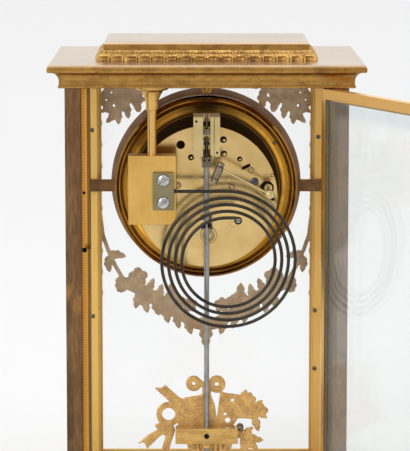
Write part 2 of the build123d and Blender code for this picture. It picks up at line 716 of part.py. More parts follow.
def back_plate():
    """Polished round back plate with its pivot holes, a slot and a raised bush."""
    plate = Circle(BACK_PLATE_RADIUS)
    for place in PLAIN_ARBORS + (CENTRE,):
        plate -= Pos(*place) * Circle(PIVOT_RADIUS + RUNNING_FIT)
    for place in BARREL_ARBORS:
        plate -= Pos(*place) * Circle(BARREL_PIVOT_RADIUS + RUNNING_FIT)
    for place in (PALLET, HAMMER):
        plate -= Pos(*place) * Circle(ARBOR_RADIUS + RUNNING_FIT)
    plate -= Pos(*SIGHT_HOLE) * Circle(SIGHT_HOLE_RADIUS)
    plate -= Pos(*SLOT_PLACE) * Rot(0, 0, SLOT_TILT) * SlotOverall(SLOT_LENGTH, SLOT_LENGTH / 3)
    return slab(Pos(0, AXIS_HEIGHT) * plate, BACK_PLATE_FRONT, BACK_PLATE_REAR)


def movement_pillars():
    """Turned pillars that hold the two plates apart."""
    pillars = []
    for angle in MOVEMENT_PILLAR_ANGLES:
        x, rise = polar(CENTRE, MOVEMENT_PILLAR_CIRCLE, angle)
        waist = MOVEMENT_PILLAR_RADIUS * 0.7
        span = BACK_PLATE_FRONT - FRONT_PLATE_REAR
        stations = [
            (FRONT_PLATE_REAR, MOVEMENT_PILLAR_RADIUS),
            (FRONT_PLATE_REAR + span * 0.15, MOVEMENT_PILLAR_RADIUS),
            (FRONT_PLATE_REAR + span * 0.2, waist),
            (FRONT_PLATE_REAR + span * 0.8, waist),
            (FRONT_PLATE_REAR + span * 0.85, MOVEMENT_PILLAR_RADIUS),
            (BACK_PLATE_FRONT, MOVEMENT_PILLAR_RADIUS),
        ]
        pillars.append(turned_along_y(x, AXIS_HEIGHT + rise, stations))
    return Compound(children=pillars)


def dial():
    """Enamel dial with holes for the hands and the two winding squares."""
    face = Circle(DIAL_RADIUS) - Circle(HOUR_PIPE_RADIUS + 2 * WORKING_GAP)
    for place in BARREL_ARBORS:
        face -= Pos(*place) * Circle(BARREL_ARBOR_RADIUS * 1.6)
    return slab(Pos(0, AXIS_HEIGHT) * face, BRACKET_FRONT, BRACKET_FRONT + DIAL_THICKNESS)


def barrel(place):
    """Spring barrel with a toothed rim, and an arbor that ends in a winding square."""
    drum_radius = pitch_radius(BARREL_TEETH) - 2 * MODULE
    drum = round_bar(place, drum_radius, BARREL_FRONT, BARREL_REAR - WHEEL_THICKNESS)
    rim = gear(place, BARREL_TEETH, BARREL_PHASE, BARREL_REAR - WHEEL_THICKNESS, WHEEL_THICKNESS)
    square_rear = BRACKET_FRONT + WINDING_SQUARE_SUNK
    shaft = round_bar(place, BARREL_ARBOR_RADIUS, square_rear, BACK_PLATE_FRONT - WORKING_GAP)
    pivot = round_bar(place, BARREL_PIVOT_RADIUS, BACK_PLATE_FRONT - WORKING_GAP, BACK_PLATE_REAR)
    square = Rectangle(BARREL_ARBOR_RADIUS * 1.35, BARREL_ARBOR_RADIUS * 1.35)
    winder = slab(at(place, square), square_rear - WINDING_SQUARE, square_rear)
    return drum + rim + shaft + pivot + winder


def intermediate_wheel():
    """Second wheel: its pinion runs in the going barrel."""
    phase = mating_phase(GOING, BARREL_TEETH, BARREL_PHASE, INTERMEDIATE, PINION_TEETH)
    pinion = gear(INTERMEDIATE, PINION_TEETH, phase, LOWER_PINION_FRONT, PINION_LENGTH)
    wheel = crossed_wheel(INTERMEDIATE, WHEEL_TEETH, WHEEL_PHASE, SECOND_WHEEL_FRONT)
    return arbor(INTERMEDIATE) + pinion + wheel


def centre_wheel():
    """Centre wheel on the long arbor that carries the minute hand."""
    phase = mating_phase(INTERMEDIATE, WHEEL_TEETH, WHEEL_PHASE, CENTRE, PINION_TEETH)
    pinion = gear(CENTRE, PINION_TEETH, phase, SECOND_WHEEL_FRONT - PINION_OVERHANG, PINION_LENGTH)
    wheel = crossed_wheel(CENTRE, WHEEL_TEETH, WHEEL_PHASE, CENTRE_WHEEL_FRONT)
    cannon = round_bar(CENTRE, CANNON_RADIUS, MINUTE_HAND_FRONT - CANNON_END, FRONT_PLATE_REAR + CANNON_END)
    drive_front = MINUTE_WHEEL_FRONT - CANNON_DRIVE_LAP
    drive = gear(CENTRE, CANNON_TEETH, WHEEL_PHASE, drive_front, PINION_LENGTH)
    return arbor(CENTRE) + pinion + wheel + cannon + drive


def third_wheel():
    """Third wheel: its pinion runs in the centre wheel."""
    phase = mating_phase(CENTRE, WHEEL_TEETH, WHEEL_PHASE, THIRD, PINION_TEETH)
    pinion = gear(THIRD, PINION_TEETH, phase, CENTRE_WHEEL_FRONT - PINION_OVERHANG, PINION_LENGTH)
    wheel = crossed_wheel(THIRD, WHEEL_TEETH, WHEEL_PHASE, THIRD_WHEEL_FRONT)
    return arbor(THIRD) + pinion + wheel


def escape_wheel():
    """Escape wheel with leaning pointed teeth; its pinion runs in the third wheel."""
    phase = mating_phase(THIRD, WHEEL_TEETH, WHEEL_PHASE, ESCAPE, PINION_TEETH)
    pinion = gear(ESCAPE, PINION_TEETH, phase, THIRD_WHEEL_FRONT - PINION_OVERHANG, PINION_LENGTH)
    root = ESCAPE_RADIUS * 0.78
    points = []
    for tooth in range(ESCAPE_TEETH):
        for radius, share in ((root, 0.0), (root, 0.55), (ESCAPE_RADIUS, 0.95)):
            angle = 2 * pi * (tooth + share) / ESCAPE_TEETH
            points.append((radius * cos(angle), radius * sin(angle)))
    outline = make_face(Polyline(*points, close=True))
    rim = Circle(root - SPOKE_RIM / 2) - Circle(HUB_RADIUS)
    rim -= Rectangle(2 * root, SPOKE_WIDTH)
    rim -= Rectangle(SPOKE_WIDTH, 2 * root)
    wheel = slab(at(ESCAPE, outline - rim), ESCAPE_FRONT, ESCAPE_FRONT + WHEEL_THICKNESS)
    return arbor(ESCAPE) + pinion + wheel


def pin_wheel():
    """Striking wheel with the pins that lift the hammer."""
    phase = mating_phase(STRIKING, BARREL_TEETH, BARREL_PHASE, PIN_WHEEL, PINION_TEETH)
    solid = arbor(PIN_WHEEL)
    solid += gear(PIN_WHEEL, PINION_TEETH, phase, LOWER_PINION_FRONT, PINION_LENGTH)
    solid += gear(PIN_WHEEL, PIN_WHEEL_TEETH, WHEEL_PHASE, SECOND_WHEEL_FRONT, WHEEL_THICKNESS)
    rear = SECOND_WHEEL_FRONT + WHEEL_THICKNESS
    for pin in range(LIFTING_PINS):
        place = polar(PIN_WHEEL, pitch_radius(PIN_WHEEL_TEETH) * 0.75, 360 * pin / LIFTING_PINS)
        solid += round_bar(place, PIVOT_RADIUS, rear - WHEEL_THICKNESS, rear + LIFTING_PIN_LENGTH)
    return solid


def fly():
    """Two-bladed air brake that steadies the striking."""
    phase = mating_phase(PIN_WHEEL, PIN_WHEEL_TEETH, WHEEL_PHASE, FLY, PINION_TEETH)
    pinion = gear(FLY, PINION_TEETH, phase, SECOND_WHEEL_FRONT - PINION_OVERHANG, PINION_LENGTH)
    blades = slab(at(FLY, Rectangle(2 * FLY_RADIUS, ARBOR_RADIUS)), FLY_FRONT, FLY_FRONT + FLY_LENGTH)
    return arbor(FLY) + pinion + blades


def minute_wheel():
    """Wheel and pinion of the motion work, turning on a stud in the front plate."""
    phase = mating_phase(CENTRE, CANNON_TEETH, WHEEL_PHASE, MINUTE_STUD, MINUTE_TEETH)
    wheel = crossed_wheel(MINUTE_STUD, MINUTE_TEETH, phase, MINUTE_WHEEL_FRONT)
    module = 2 * MINUTE_STUD[1] / (MINUTE_PINION_TEETH + HOUR_TEETH)
    front = HOUR_WHEEL_FRONT - PINION_OVERHANG
    length = MINUTE_WHEEL_FRONT + CANNON_DRIVE_LAP - front
    pinion = gear(MINUTE_STUD, MINUTE_PINION_TEETH, WHEEL_PHASE, front, length, module)
    stud = round_bar(MINUTE_STUD, PIVOT_RADIUS, front, FRONT_PLATE_REAR)
    return wheel + pinion + stud


def hour_wheel():
    """Hour wheel with the pipe that carries the hour hand."""
    module = 2 * MINUTE_STUD[1] / (MINUTE_PINION_TEETH + HOUR_TEETH)
    phase = mating_phase(MINUTE_STUD, MINUTE_PINION_TEETH, WHEEL_PHASE, CENTRE, HOUR_TEETH)
    outline = toothed_outline(HOUR_TEETH, module, phase)
    bore = Circle(CANNON_RADIUS + RUNNING_FIT)
    wheel = slab(at(CENTRE, outline - bore), HOUR_WHEEL_FRONT, HOUR_WHEEL_FRONT + WHEEL_THICKNESS)
    pipe = slab(at(CENTRE, Circle(HOUR_PIPE_RADIUS) - bore), HOUR_HAND_FRONT, HOUR_WHEEL_FRONT)
    return wheel + pipe


def hand(reach, tip_width, bore, front):
    """Pierced hand: round eye, tapering stem and a pierced pear-shaped end, pointing up."""
    eye = bore * 1.9
    pear = reach * 0.14
    stem = make_face(Polyline(
        (-tip_width, 0), (-tip_width * 0.6, reach * 0.8), (0, reach),
        (tip_width * 0.6, reach * 0.8), (tip_width, 0), close=True,
    ))
    outline = Circle(eye) + stem
    outline += Pos(0, reach * 0.68) * Circle(pear)
    outline -= Pos(0, reach * 0.68) * Circle(pear * 0.55)
    outline -= Circle(bore)
    return slab(at(CENTRE, outline), front, front + HAND_THICKNESS)


def pallets():
    """Anchor that straddles the escape wheel, on the arbor that passes through the back plate."""
    rear = ESCAPE_FRONT + WHEEL_THICKNESS
    inner = ESCAPE_RADIUS + PALLET_CLEARANCE
    arch = Circle(inner + PALLET_WIDTH) - Circle(inner)
    arch &= Pos(0, inner) * Rectangle(4 * inner, 1.1 * inner)
    stem_height = PALLET_REACH - inner - PALLET_WIDTH / 2
    arch += Pos(0, PALLET_REACH - stem_height / 2) * Rectangle(PALLET_WIDTH, stem_height)
    arch += Pos(0, PALLET_REACH) * Circle(PALLET_WIDTH)
    anchor = slab(at(ESCAPE, arch), ESCAPE_FRONT, rear)
    shaft = round_bar(PALLET, ARBOR_RADIUS, FRONT_PLATE_REAR + WORKING_GAP, CRUTCH_PLANE - CRUTCH_RADIUS)
    pivot = round_bar(PALLET, PIVOT_RADIUS, RIM_REAR, FRONT_PLATE_REAR + WORKING_GAP)
    return anchor + shaft + pivot


def crutch():
    """Arm that hangs from the pallet arbor and ends in a fork round the pendulum rod."""
    top = AXIS_HEIGHT + PALLET[1]
    hub = round_bar(PALLET, CRUTCH_RADIUS * 2, CRUTCH_PLANE - CRUTCH_RADIUS, CRUTCH_PLANE + CRUTCH_RADIUS)
    arm = post(0, CRUTCH_PLANE, CRUTCH_RADIUS, FORK_HEIGHT - CRUTCH_RADIUS, top)
    fork_front = PENDULUM_PLANE - FORK_DEPTH / 2
    link = disc(0, FORK_HEIGHT, CRUTCH_RADIUS, CRUTCH_PLANE, fork_front + FORK_WALL)
    slot = ROD_RADIUS + FORK_CLEARANCE
    tine = slot + FORK_WALL
    z_range = (FORK_HEIGHT - FORK_WALL, FORK_HEIGHT + FORK_WALL)
    fork = box((-tine, tine), (fork_front, fork_front + FORK_DEPTH), z_range)
    fork -= box((-slot, slot), (fork_front + FORK_WALL, fork_front + FORK_DEPTH), z_range)
    return hub + arm + link + fork


def suspension_bracket():
    """Pale brass bracket with two cheeks; the right-hand cheek is cut into two posts."""
    rear = PENDULUM_PLANE + CHEEK_REACH
    z_range = (CHEEK_BOTTOM, CHEEK_TOP)
    solid = box((-CHEEK_HALF, CHEEK_HALF), (BACK_PLATE_REAR, rear), z_range)
    solid -= box((-CHEEK_SLOT_HALF, CHEEK_SLOT_HALF), (BACK_PLATE_REAR, rear), z_range)
    bridge_front = (BACK_PLATE_REAR, BACK_PLATE_REAR + CHEEK_REACH)
    solid += box((-CHEEK_HALF, CHEEK_HALF), bridge_front, (CHEEK_TOP - BRIDGE_HEIGHT, CHEEK_TOP))
    groove = (-CHEEK_SLOT_HALF - POST_WIDTH - POST_GROOVE, -CHEEK_SLOT_HALF - POST_WIDTH)
    solid -= box(groove, (PENDULUM_PLANE, rear), z_range)
    short = (-CHEEK_SLOT_HALF - POST_WIDTH, -CHEEK_SLOT_HALF)
    solid -= box(short, (PENDULUM_PLANE, rear), (CHEEK_BOTTOM, CHEEK_BOTTOM + SHORT_POST_RISE))
    return solid


def suspension_chop():
    """Fixed upper block of the suspension spring, with its regulating post."""
    half = CHEEK_SLOT_HALF - TIGHT_FIT
    bottom = SUSPENSION_HEIGHT + WORKING_GAP
    y_range = (PENDULUM_PLANE - CHOP_DEPTH / 2, PENDULUM_PLANE + CHOP_DEPTH / 2)
    block = box((-half, half), y_range, (bottom, bottom + CHOP_HEIGHT))
    return block + post(0, PENDULUM_PLANE, CRUTCH_RADIUS, bottom + CHOP_HEIGHT, CHEEK_TOP + REGULATOR_RISE)


def suspension_spring():
    """Thin spring strip with the lower block that holds the rod."""
    y_range = (PENDULUM_PLANE - CHOP_DEPTH / 2, PENDULUM_PLANE + CHOP_DEPTH / 2)
    strip_y = (PENDULUM_PLANE - CHOP_DEPTH * 0.4, PENDULUM_PLANE + CHOP_DEPTH * 0.4)
    block_top = CHEEK_BOTTOM - 2 * WORKING_GAP
    strip = box((-SPRING_HALF, SPRING_HALF), strip_y, (block_top, SUSPENSION_HEIGHT))
    block = box((-LOWER_CHOP_HALF, LOWER_CHOP_HALF), y_range, (block_top - LOWER_CHOP_HEIGHT, block_top))
    return strip + block


def pendulum_rod():
    """Steel rod from the suspension spring down through the bob and its rating nut."""
    top = CHEEK_BOTTOM - 2 * WORKING_GAP - LOWER_CHOP_HEIGHT
    bottom = BOB_HEIGHT - BOB_BLOCK_HEIGHT / 2 - RATING_NUT_HEIGHT - ROD_END
    return post(0, PENDULUM_PLANE, ROD_RADIUS, bottom, top)


def bob_block():
    """Brass cross-bar that carries the ornament."""
    half_depth = BOB_DEPTH / 2
    z_range = (BOB_HEIGHT - BOB_BLOCK_HEIGHT / 2, BOB_HEIGHT + BOB_BLOCK_HEIGHT / 2)
    y_range = (PENDULUM_PLANE - half_depth, PENDULUM_PLANE + half_depth)
    block = box((-BOB_WIDTH / 2, BOB_WIDTH / 2), y_range, z_range)
    block -= post(0, PENDULUM_PLANE, ROD_RADIUS + TIGHT_FIT, *z_range)
    return block


def rating_nut():
    """Round nut under the bob."""
    top = BOB_HEIGHT - BOB_BLOCK_HEIGHT / 2
    bottom = top - RATING_NUT_HEIGHT
    nut = post(0, PENDULUM_PLANE, RATING_NUT_RADIUS, bottom, top)
    return nut - post(0, PENDULUM_PLANE, ROD_RADIUS + TIGHT_FIT, bottom, top)


def leaf(x, z, angle, length, width):
    """Pointed leaf, drawn from its stalk."""
    upper = ThreePointArc((0, 0), (length * 0.45, width / 2), (length, 0))
    lower = ThreePointArc((length, 0), (length * 0.45, -width / 2), (0, 0))
    return Pos(x, z) * Rot(0, 0, angle) * make_face([upper, lower])


def ribbon(points, width):
    """Round-ended strap through the given points."""
    strap = Sketch()
    for start, end in zip(points, points[1:]):
        middle = Pos((start[0] + end[0]) / 2, (start[1] + end[1]) / 2)
        turn = Rot(0, 0, direction_deg(start, end))
        length = hypot(end[0] - start[0], end[1] - start[1])
        strap += middle * turn * SlotCenterToCenter(length, width)
    return strap


def leafy_stem(points, width, leaf_length, turns=(-1, 1)):
    """Stem with leaves turned to one or both sides at each of its points."""
    spray = ribbon(points, width)
    for start, end in zip(points, points[1:]):
        along = direction_deg(start, end)
        for turn in [LEAF_SPREAD * side for side in turns]:
            spray += leaf(start[0], start[1], along + turn, leaf_length, leaf_length * LEAF_PLUMPNESS)
    spray += leaf(*points[-1], along, leaf_length, leaf_length * LEAF_PLUMPNESS)
    return spray


def both_sides(sketch):
    return sketch + mirror(sketch, Plane.YZ)


def flower(x, z, radius):
    """Round flower with six petals."""
    rosette = Circle(radius * 0.7)
    for petal in range(6):
        rosette += Rot(0, 0, 60 * petal) * Pos(radius * 0.62, 0) * Circle(radius * 0.38)
    return Pos(x, z) * rosette


def trophy_place(across, up):
    """Place on the bob's ornament, in hundredths of its half width, from its middle."""
    return (TROPHY_HALF * across / 100, TROPHY_HALF * up / 100)


def trophy_ribbons():
    """Loops, knot, ends and tails of the ribbon that ties the ornament."""
    unit = TROPHY_HALF / 100
    ribbons = Sketch()
    for across, up, radius in ((19, 60, 11.4), (-15, 59, 12.8), (56, 14, 18)):
        ribbons += Pos(*trophy_place(across, up)) * Circle(unit * radius)
    straps = (
        (8, (16, 67), (3, 56)),
        (13, (0, 56), (0, -40)),
        (14, (68, 55), (46, 35), (30, 28)),
        (10, (58, -4), (67, -11), (94, -28)),
        (11, (52, -10), (60, -36)),
    )
    for width, *places in straps:
        ribbons += ribbon([trophy_place(*place) for place in places], unit * width)
    return ribbons


def trophy_sprays():
    """Sheaf behind the cross-bar, with a spray of leaves and flowers on its -X side."""
    unit = TROPHY_HALF / 100
    outlines = (
        ((46, 31), (31, 39), (12, 42), (0, 47), (-6, 44), (-15, 21), (-15, -12), (41, -12), (44, 10)),
        (
            (-19, 50), (-27, 46), (-48, 43), (-67, 36), (-80, 24), (-72, 7), (-46, 8), (-34, -12), (-15, -12),
            (-15, 21),
        ),
        ((-44, -12), (-36, -38), (-22, -51), (0, -57), (17, -50), (27, -38), (31, -26), (41, -12)),
    )
    sprays = Sketch()
    for outline in outlines:
        sprays += Polygon(*[trophy_place(*place) for place in outline], align=None)
    for across, up, angle, length in (
        (48, -6, 6, 29), (50, -8, -16, 26), (-50, 38, 127, 16), (-70, 12, 254, 25), (-75, 17, 211, 17),
    ):
        sprays += leaf(*trophy_place(across, up), angle, unit * length, unit * length * LEAF_PLUMPNESS)
    for across, up, radius in ((-80, 20, 10), (-62, 35, 9), (-62, -23, 15), (-47, -14, 9)):
        sprays += flower(*trophy_place(across, up), unit * radius)
    return sprays


def bob_trophy():
    """Openwork ornament of the bob: a ribbon bow above a sheaf and a drooping spray."""
    unit = TROPHY_HALF / 100
    sketch = trophy_ribbons() + trophy_sprays()
    wedge = ((-10, 46), (-20, 46), (-15, 8))
    sketch -= Polygon(*[trophy_place(*place) for place in wedge], align=None)
    holes = ((19, 60, 2.6), (-15, 59, 3.2), (56, 13, 9), (-38, 35, 2.6), (-27, 14, 2.4), (-31, 5, 4))
    for across, up, radius in holes:
        sketch -= Pos(*trophy_place(across, up)) * Circle(unit * radius)
    rear = PENDULUM_PLANE - BOB_DEPTH / 2
    return slab(Pos(0, BOB_HEIGHT + TROPHY_RISE) * sketch, rear - TROPHY_THICKNESS, rear)


def gong_post():
    """Post under the cornice, flared into a trumpet-shaped boss."""
    block_top = GONG_BLOCK_BOTTOM + GONG_BLOCK_HEIGHT
    waist = PILLAR_TOP - GONG_BOSS_HEIGHT
    neck = GONG_POST_RADIUS * 1.35
    section = make_face([
        Line((0, block_top), (GONG_POST_RADIUS, block_top)),
        Line((GONG_POST_RADIUS, block_top), (GONG_POST_RADIUS, waist)),
        Line((GONG_POST_RADIUS, waist), (neck, waist)),
        RadiusArc((neck, waist), (GONG_BOSS_RADIUS, PILLAR_TOP), GONG_BOSS_HEIGHT * 1.3),
        Line((GONG_BOSS_RADIUS, PILLAR_TOP), (0, PILLAR_TOP)),
        Line((0, PILLAR_TOP), (0, block_top)),
    ])
    x = GONG_BLOCK_LEFT + GONG_BLOCK_WIDTH / 2
    y = GONG_BLOCK_REAR - GONG_BLOCK_DEPTH / 2
    return Pos(x, y, 0) * revolve(Plane.XZ * section, Axis.Z)


def clamp_places():
    """Places of the two clamp screws."""
    x = GONG_BLOCK_LEFT + CLAMP_MARGIN + CLAMP_WIDTH / 2
    return [(x, GONG_TOP_HEIGHT + rise) for rise in (-CLAMP_SCREW_RISE, CLAMP_SCREW_RISE)]


def gong_block():
    """Brass block on the post, tapped for the clamp screws."""
    y_range = (GONG_BLOCK_REAR - GONG_BLOCK_DEPTH, GONG_BLOCK_REAR)
    top = GONG_BLOCK_BOTTOM + GONG_BLOCK_HEIGHT
    block = box((GONG_BLOCK_LEFT, GONG_BLOCK_LEFT + GONG_BLOCK_WIDTH), y_range, (GONG_BLOCK_BOTTOM, top))
    for x, z in clamp_places():
        block -= disc(x, z, CLAMP_SHANK_RADIUS + TIGHT_FIT, GONG_BLOCK_REAR - CLAMP_SHANK, GONG_BLOCK_REAR)
    return block


def gong_clamp():
    """Steel plate on the back of the block, bored across for the end of the gong's wire."""
    rear = GONG_BLOCK_REAR
    left = GONG_BLOCK_LEFT + CLAMP_MARGIN
    z_range = (GONG_TOP_HEIGHT - CLAMP_HEIGHT / 2, GONG_TOP_HEIGHT + CLAMP_HEIGHT / 2)
    plate = box((left, left + CLAMP_WIDTH), (rear, rear + CLAMP_THICKNESS), z_range)
    for x, z in clamp_places():
        plate -= disc(x, z, CLAMP_SHANK_RADIUS + TIGHT_FIT, rear, rear + CLAMP_THICKNESS)
    lead_start = (GONG_LEAD_START, GONG_PLANE, GONG_TOP_HEIGHT)
    lead_end = (left, GONG_PLANE, GONG_TOP_HEIGHT)
    return plate - bar_between(lead_start, lead_end, GONG_WIRE_RADIUS + TIGHT_FIT)


def gong_screws():
    """Two slotted screws of the clamp."""
    seat = GONG_BLOCK_REAR + CLAMP_THICKNESS
    screws = []
    for x, z in clamp_places():
        head = disc(x, z, CLAMP_SCREW_RADIUS, seat, seat + CLAMP_SCREW_HEAD)
        slot = Pos(x, z) * Rot(0, 0, SCREW_TURN) * Rectangle(3 * CLAMP_SCREW_RADIUS, SLOT_WIDTH)
        head -= slab(slot, seat + CLAMP_SCREW_HEAD / 2, seat + CLAMP_SCREW_HEAD)
        screws.append(head + disc(x, z, CLAMP_SHANK_RADIUS, GONG_BLOCK_REAR - CLAMP_SHANK, seat))
    return Compound(children=screws)


def gong_path():
    """Straight lead from the block, half turns that shrink to the middle, and a short straight end."""
    def at_height(x, z):
        return (x, GONG_PLANE, z)

    top = GONG_TOP_HEIGHT
    edges = [Line(at_height(GONG_LEAD_START, top), at_height(GONG_CENTRE_X, top))]
    place = top
    for half_turn in range(2 * GONG_TURNS):
        radius = GONG_OUTER_RADIUS - half_turn * GONG_PITCH / 2
        down = half_turn % 2 == 0
        side = -1 if down else 1
        middle = place - radius if down else place + radius
        far = 2 * middle - place
        start = at_height(GONG_CENTRE_X, place)
        crest = at_height(GONG_CENTRE_X + side * radius, middle)
        edges.append(ThreePointArc(start, crest, at_height(GONG_CENTRE_X, far)))
        place = far
    end = at_height(GONG_CENTRE_X - 2 * GONG_WIRE_RADIUS, place)
    edges.append(Line(at_height(GONG_CENTRE_X, place), end))
    return edges


def least_turn_gap(edges, samples=24):
    """Least clear gap between stretches of the wire that lie a turn or so apart."""
    stretches = [[edge @ (step / samples) for step in range(samples + 1)] for edge in edges]
    least = GONG_OUTER_RADIUS
    for index, stretch in enumerate(stretches):
        for other in stretches[index + 2:]:
            least = min(least, min((p - q).length for p in stretch for q in other))
    return least - 2 * GONG_WIRE_RADIUS


def gong_coil():
    """Blued steel wire wound in a flat spiral."""
    edges = gong_path()
    print("least gap between the gong's turns:", round(least_turn_gap(edges), 3), "mm")
    path = Wire(edges)
    start = Plane(origin=edges[0] @ 0, z_dir=(-1, 0, 0))
    return sweep(start * Circle(GONG_WIRE_RADIUS), path=path)


def hammer_head_ends():
    """Upper and lower end of the hammer head at rest."""
    lower_x = GONG_CENTRE_X + HAMMER_STRIKE_OFFSET
    lower_z = GONG_TOP_HEIGHT + GONG_WIRE_RADIUS + HAMMER_LIFT_GAP
    tilt = radians(HAMMER_TILT)
    upper = (lower_x - HAMMER_HEAD_LENGTH * sin(tilt), lower_z + HAMMER_HEAD_LENGTH * cos(tilt))
    return upper, (lower_x, lower_z)


def hammer_arm():
    """Hammer arbor with its collar, lifting tail and the thin arm out to the head."""
    shaft = round_bar(HAMMER, ARBOR_RADIUS, FRONT_PLATE_REAR + WORKING_GAP, GONG_PLANE + ARBOR_RADIUS)
    shaft += round_bar(HAMMER, PIVOT_RADIUS, RIM_REAR, FRONT_PLATE_REAR + WORKING_GAP)
    collar_front = BACK_PLATE_REAR + WORKING_GAP
    shaft += round_bar(HAMMER, 2 * ARBOR_RADIUS, collar_front, collar_front + HAMMER_COLLAR)
    tail_end = polar(HAMMER, TAIL_LENGTH, direction_deg(HAMMER, PIN_WHEEL))
    tail = ribbon([HAMMER, tail_end], ARBOR_RADIUS)
    tail_front = SECOND_WHEEL_FRONT + 2 * WHEEL_THICKNESS
    shaft += slab(Pos(0, AXIS_HEIGHT) * tail, tail_front, tail_front + WHEEL_THICKNESS)
    upper, lower = hammer_head_ends()
    grip = (upper[0] * 0.75 + lower[0] * 0.25, GONG_PLANE, upper[1] * 0.75 + lower[1] * 0.25)
    hub = (HAMMER[0], GONG_PLANE, AXIS_HEIGHT + HAMMER[1])
    return shaft + bar_between(hub, grip, HAMMER_ARM_RADIUS)


def hammer_head():
    """Cylindrical head, bored for the arm."""
    upper, lower = hammer_head_ends()
    head = bar_between(
        (upper[0], GONG_PLANE, upper[1]), (lower[0], GONG_PLANE, lower[1]), HAMMER_HEAD_RADIUS
    )
    return head - hammer_arm()


def swag_place(across, down):
    """Place on the swag, in hundredths of the garland's half width and of the swag's depth."""
    edge = GARLAND_HALF - STEM_WIDTH / 2
    return (edge * across / 100, SWAG_TOP - SWAG_DEPTH * down / 100)


def swag_sketch():
    """The +X half of the swag: a stem that thickens into leaves and flowers towards the middle."""
    unit = GARLAND_HALF / 100
    stem = ((100, 0), (97, 19), (92, 32), (85, 46), (76, 60))
    body = ((76, 60), (61, 66), (43, 75), (29, 85), (9, 95), (0, 97))
    swag = ribbon([swag_place(*place) for place in stem], STEM_WIDTH)
    swag += ribbon([swag_place(*place) for place in body], SWAG_BODY)
    for across, down, angle, length in (
        (91, 34, 193, 16), (93, 37, 262, 15.5), (83, 55, 257, 15.5), (55, 68, 114, 14.5), (45, 74, 104, 15),
        (32, 80, 87, 22), (63.5, 68, 281, 16), (59, 70, 258, 18), (49.5, 74, 252, 16.5), (39.5, 78, 258, 19),
        (29, 85.5, 256, 16), (19, 91, 250, 16),
    ):
        swag += leaf(*swag_place(across, down), angle, unit * length, unit * length * LEAF_PLUMPNESS)
    for across, down, radius in ((64, 55, 9.3), (80, 63, 6), (15, 79, 7.3), (26, 76, 7)):
        swag += flower(*swag_place(across, down), unit * radius)
    return swag


def corner_sketch():
    """The +X half of the top: a stem in the corner with drooping leaves, above the side drop."""
    unit = GARLAND_HALF / 100
    edge = GARLAND_HALF - STEM_WIDTH / 2
    drop_step = (DROP_TOP - DROP_BOTTOM) / DROP_LEAVES
    drop_points = [(edge, DROP_TOP - drop_step * step) for step in range(DROP_LEAVES + 1)]
    corner = leafy_stem(drop_points, STEM_WIDTH, DROP_LEAF, turns=(-1,))
    stem = ((100, 0), (90, 9), (76, 11), (55, 7))
    places = [(edge * across / 100, DROP_TOP + unit * up) for across, up in stem]
    corner += ribbon(places, STEM_WIDTH * 2)
    for across, up, angle, length in (
        (65, 9, 304, 41), (79, 9, 301, 31), (63, 7, 274, 21), (73, -4, 273, 17), (54, 8, 265, 20),
    ):
        place = (edge * across / 100, DROP_TOP + unit * up)
        corner += leaf(*place, angle, unit * length, unit * length * LEAF_PLUMPNESS)
    return corner


def garland_screw_places():
    x = GARLAND_HALF - GARLAND_SCREW_INSET
    return [(side * x, DOOR_TOP - drop) for side in (-1, 1) for drop in GARLAND_SCREW_DROPS]


def front_garland():
    """Gilt garland on the outside of the front door, kept clear of the hinge edge."""
    sketch = both_sides(swag_sketch() + corner_sketch())
    sketch += leaf(*swag_place(0, 94), -90, PENDANT_LEAF, PENDANT_LEAF * LEAF_PLUMPNESS)
    sketch += flower(*swag_place(0, 94), SWAG_BODY * 0.7)
    middle = (DOOR_BOTTOM + DOOR_TOP) / 2
    sketch &= Pos(0, middle) * Rectangle(2 * GARLAND_HALF, DOOR_TOP - DOOR_BOTTOM)
    plate = slab(sketch, -HALF_DEPTH - GARLAND_THICKNESS, -HALF_DEPTH)
    for x, z in garland_screw_places():
        hole_front = -HALF_DEPTH - GARLAND_THICKNESS / 2
        plate -= disc(x, z, GARLAND_SCREW_RADIUS + TIGHT_FIT, hole_front, -HALF_DEPTH)
    return plate


def garland_screws():
    """Screws through the front door's stiles into the garland."""
    screws = []
    for x, z in garland_screw_places():
        screws.append(disc(x, z, GARLAND_SCREW_RADIUS, -HALF_DEPTH - GARLAND_THICKNESS / 2, -DOOR_INNER_FACE))
    return Compound(children=screws)


def front_door_frame():
    """Front door frame: the rear one mirrored, with holes for the garland's screws."""
    frame = mirror(door_frame(FRONT_CATCH_HEIGHT), Plane.XZ)
    for x, z in garland_screw_places():
        frame -= disc(x, z, GARLAND_SCREW_RADIUS + TIGHT_FIT, -HALF_DEPTH, -DOOR_INNER_FACE)
    return frame


def opened(shape):
    """Rear door piece turned about its hinge to where it stands open."""
    hinge = Axis((HINGE_X, HINGE_Y, 0), (0, 0, 1))
    return shape.rotate(hinge, REAR_DOOR_OPEN_DEG)


def case_pieces():
    rear_pillar = rear_right_pillar(REAR_CATCH_HEIGHT)
    front_pillar = mirror(rear_right_pillar(FRONT_CATCH_HEIGHT), Plane.XZ)
    glass = side_glass()
    plinth_half = (MOULDING_HALF_X - PLINTH_SIDE_INSET, MOULDING_HALF_Y - PLINTH_END_INSET)
    cap_half = (plinth_half[0] - CAP_INSET, plinth_half[1] - CAP_INSET)
    return {
        "base_plinth": base_plinth(),
        "sole_plate": sole_plate(),
        "cornice": cornice(),
        "leaf_plinth": moulded_block(*plinth_half, plinth_edges),
        "top_cap": moulded_block(*cap_half, cap_edges),
        "cap_stud": cap_stud(),
        "pillar_rear_right": rear_pillar,
        "pillar_rear_left": mirror(rear_pillar, Plane.YZ),
        "pillar_front_right": front_pillar,
        "pillar_front_left": mirror(front_pillar, Plane.YZ),
        "side_glass_right": glass,
        "side_glass_left": mirror(glass, Plane.YZ),
    }


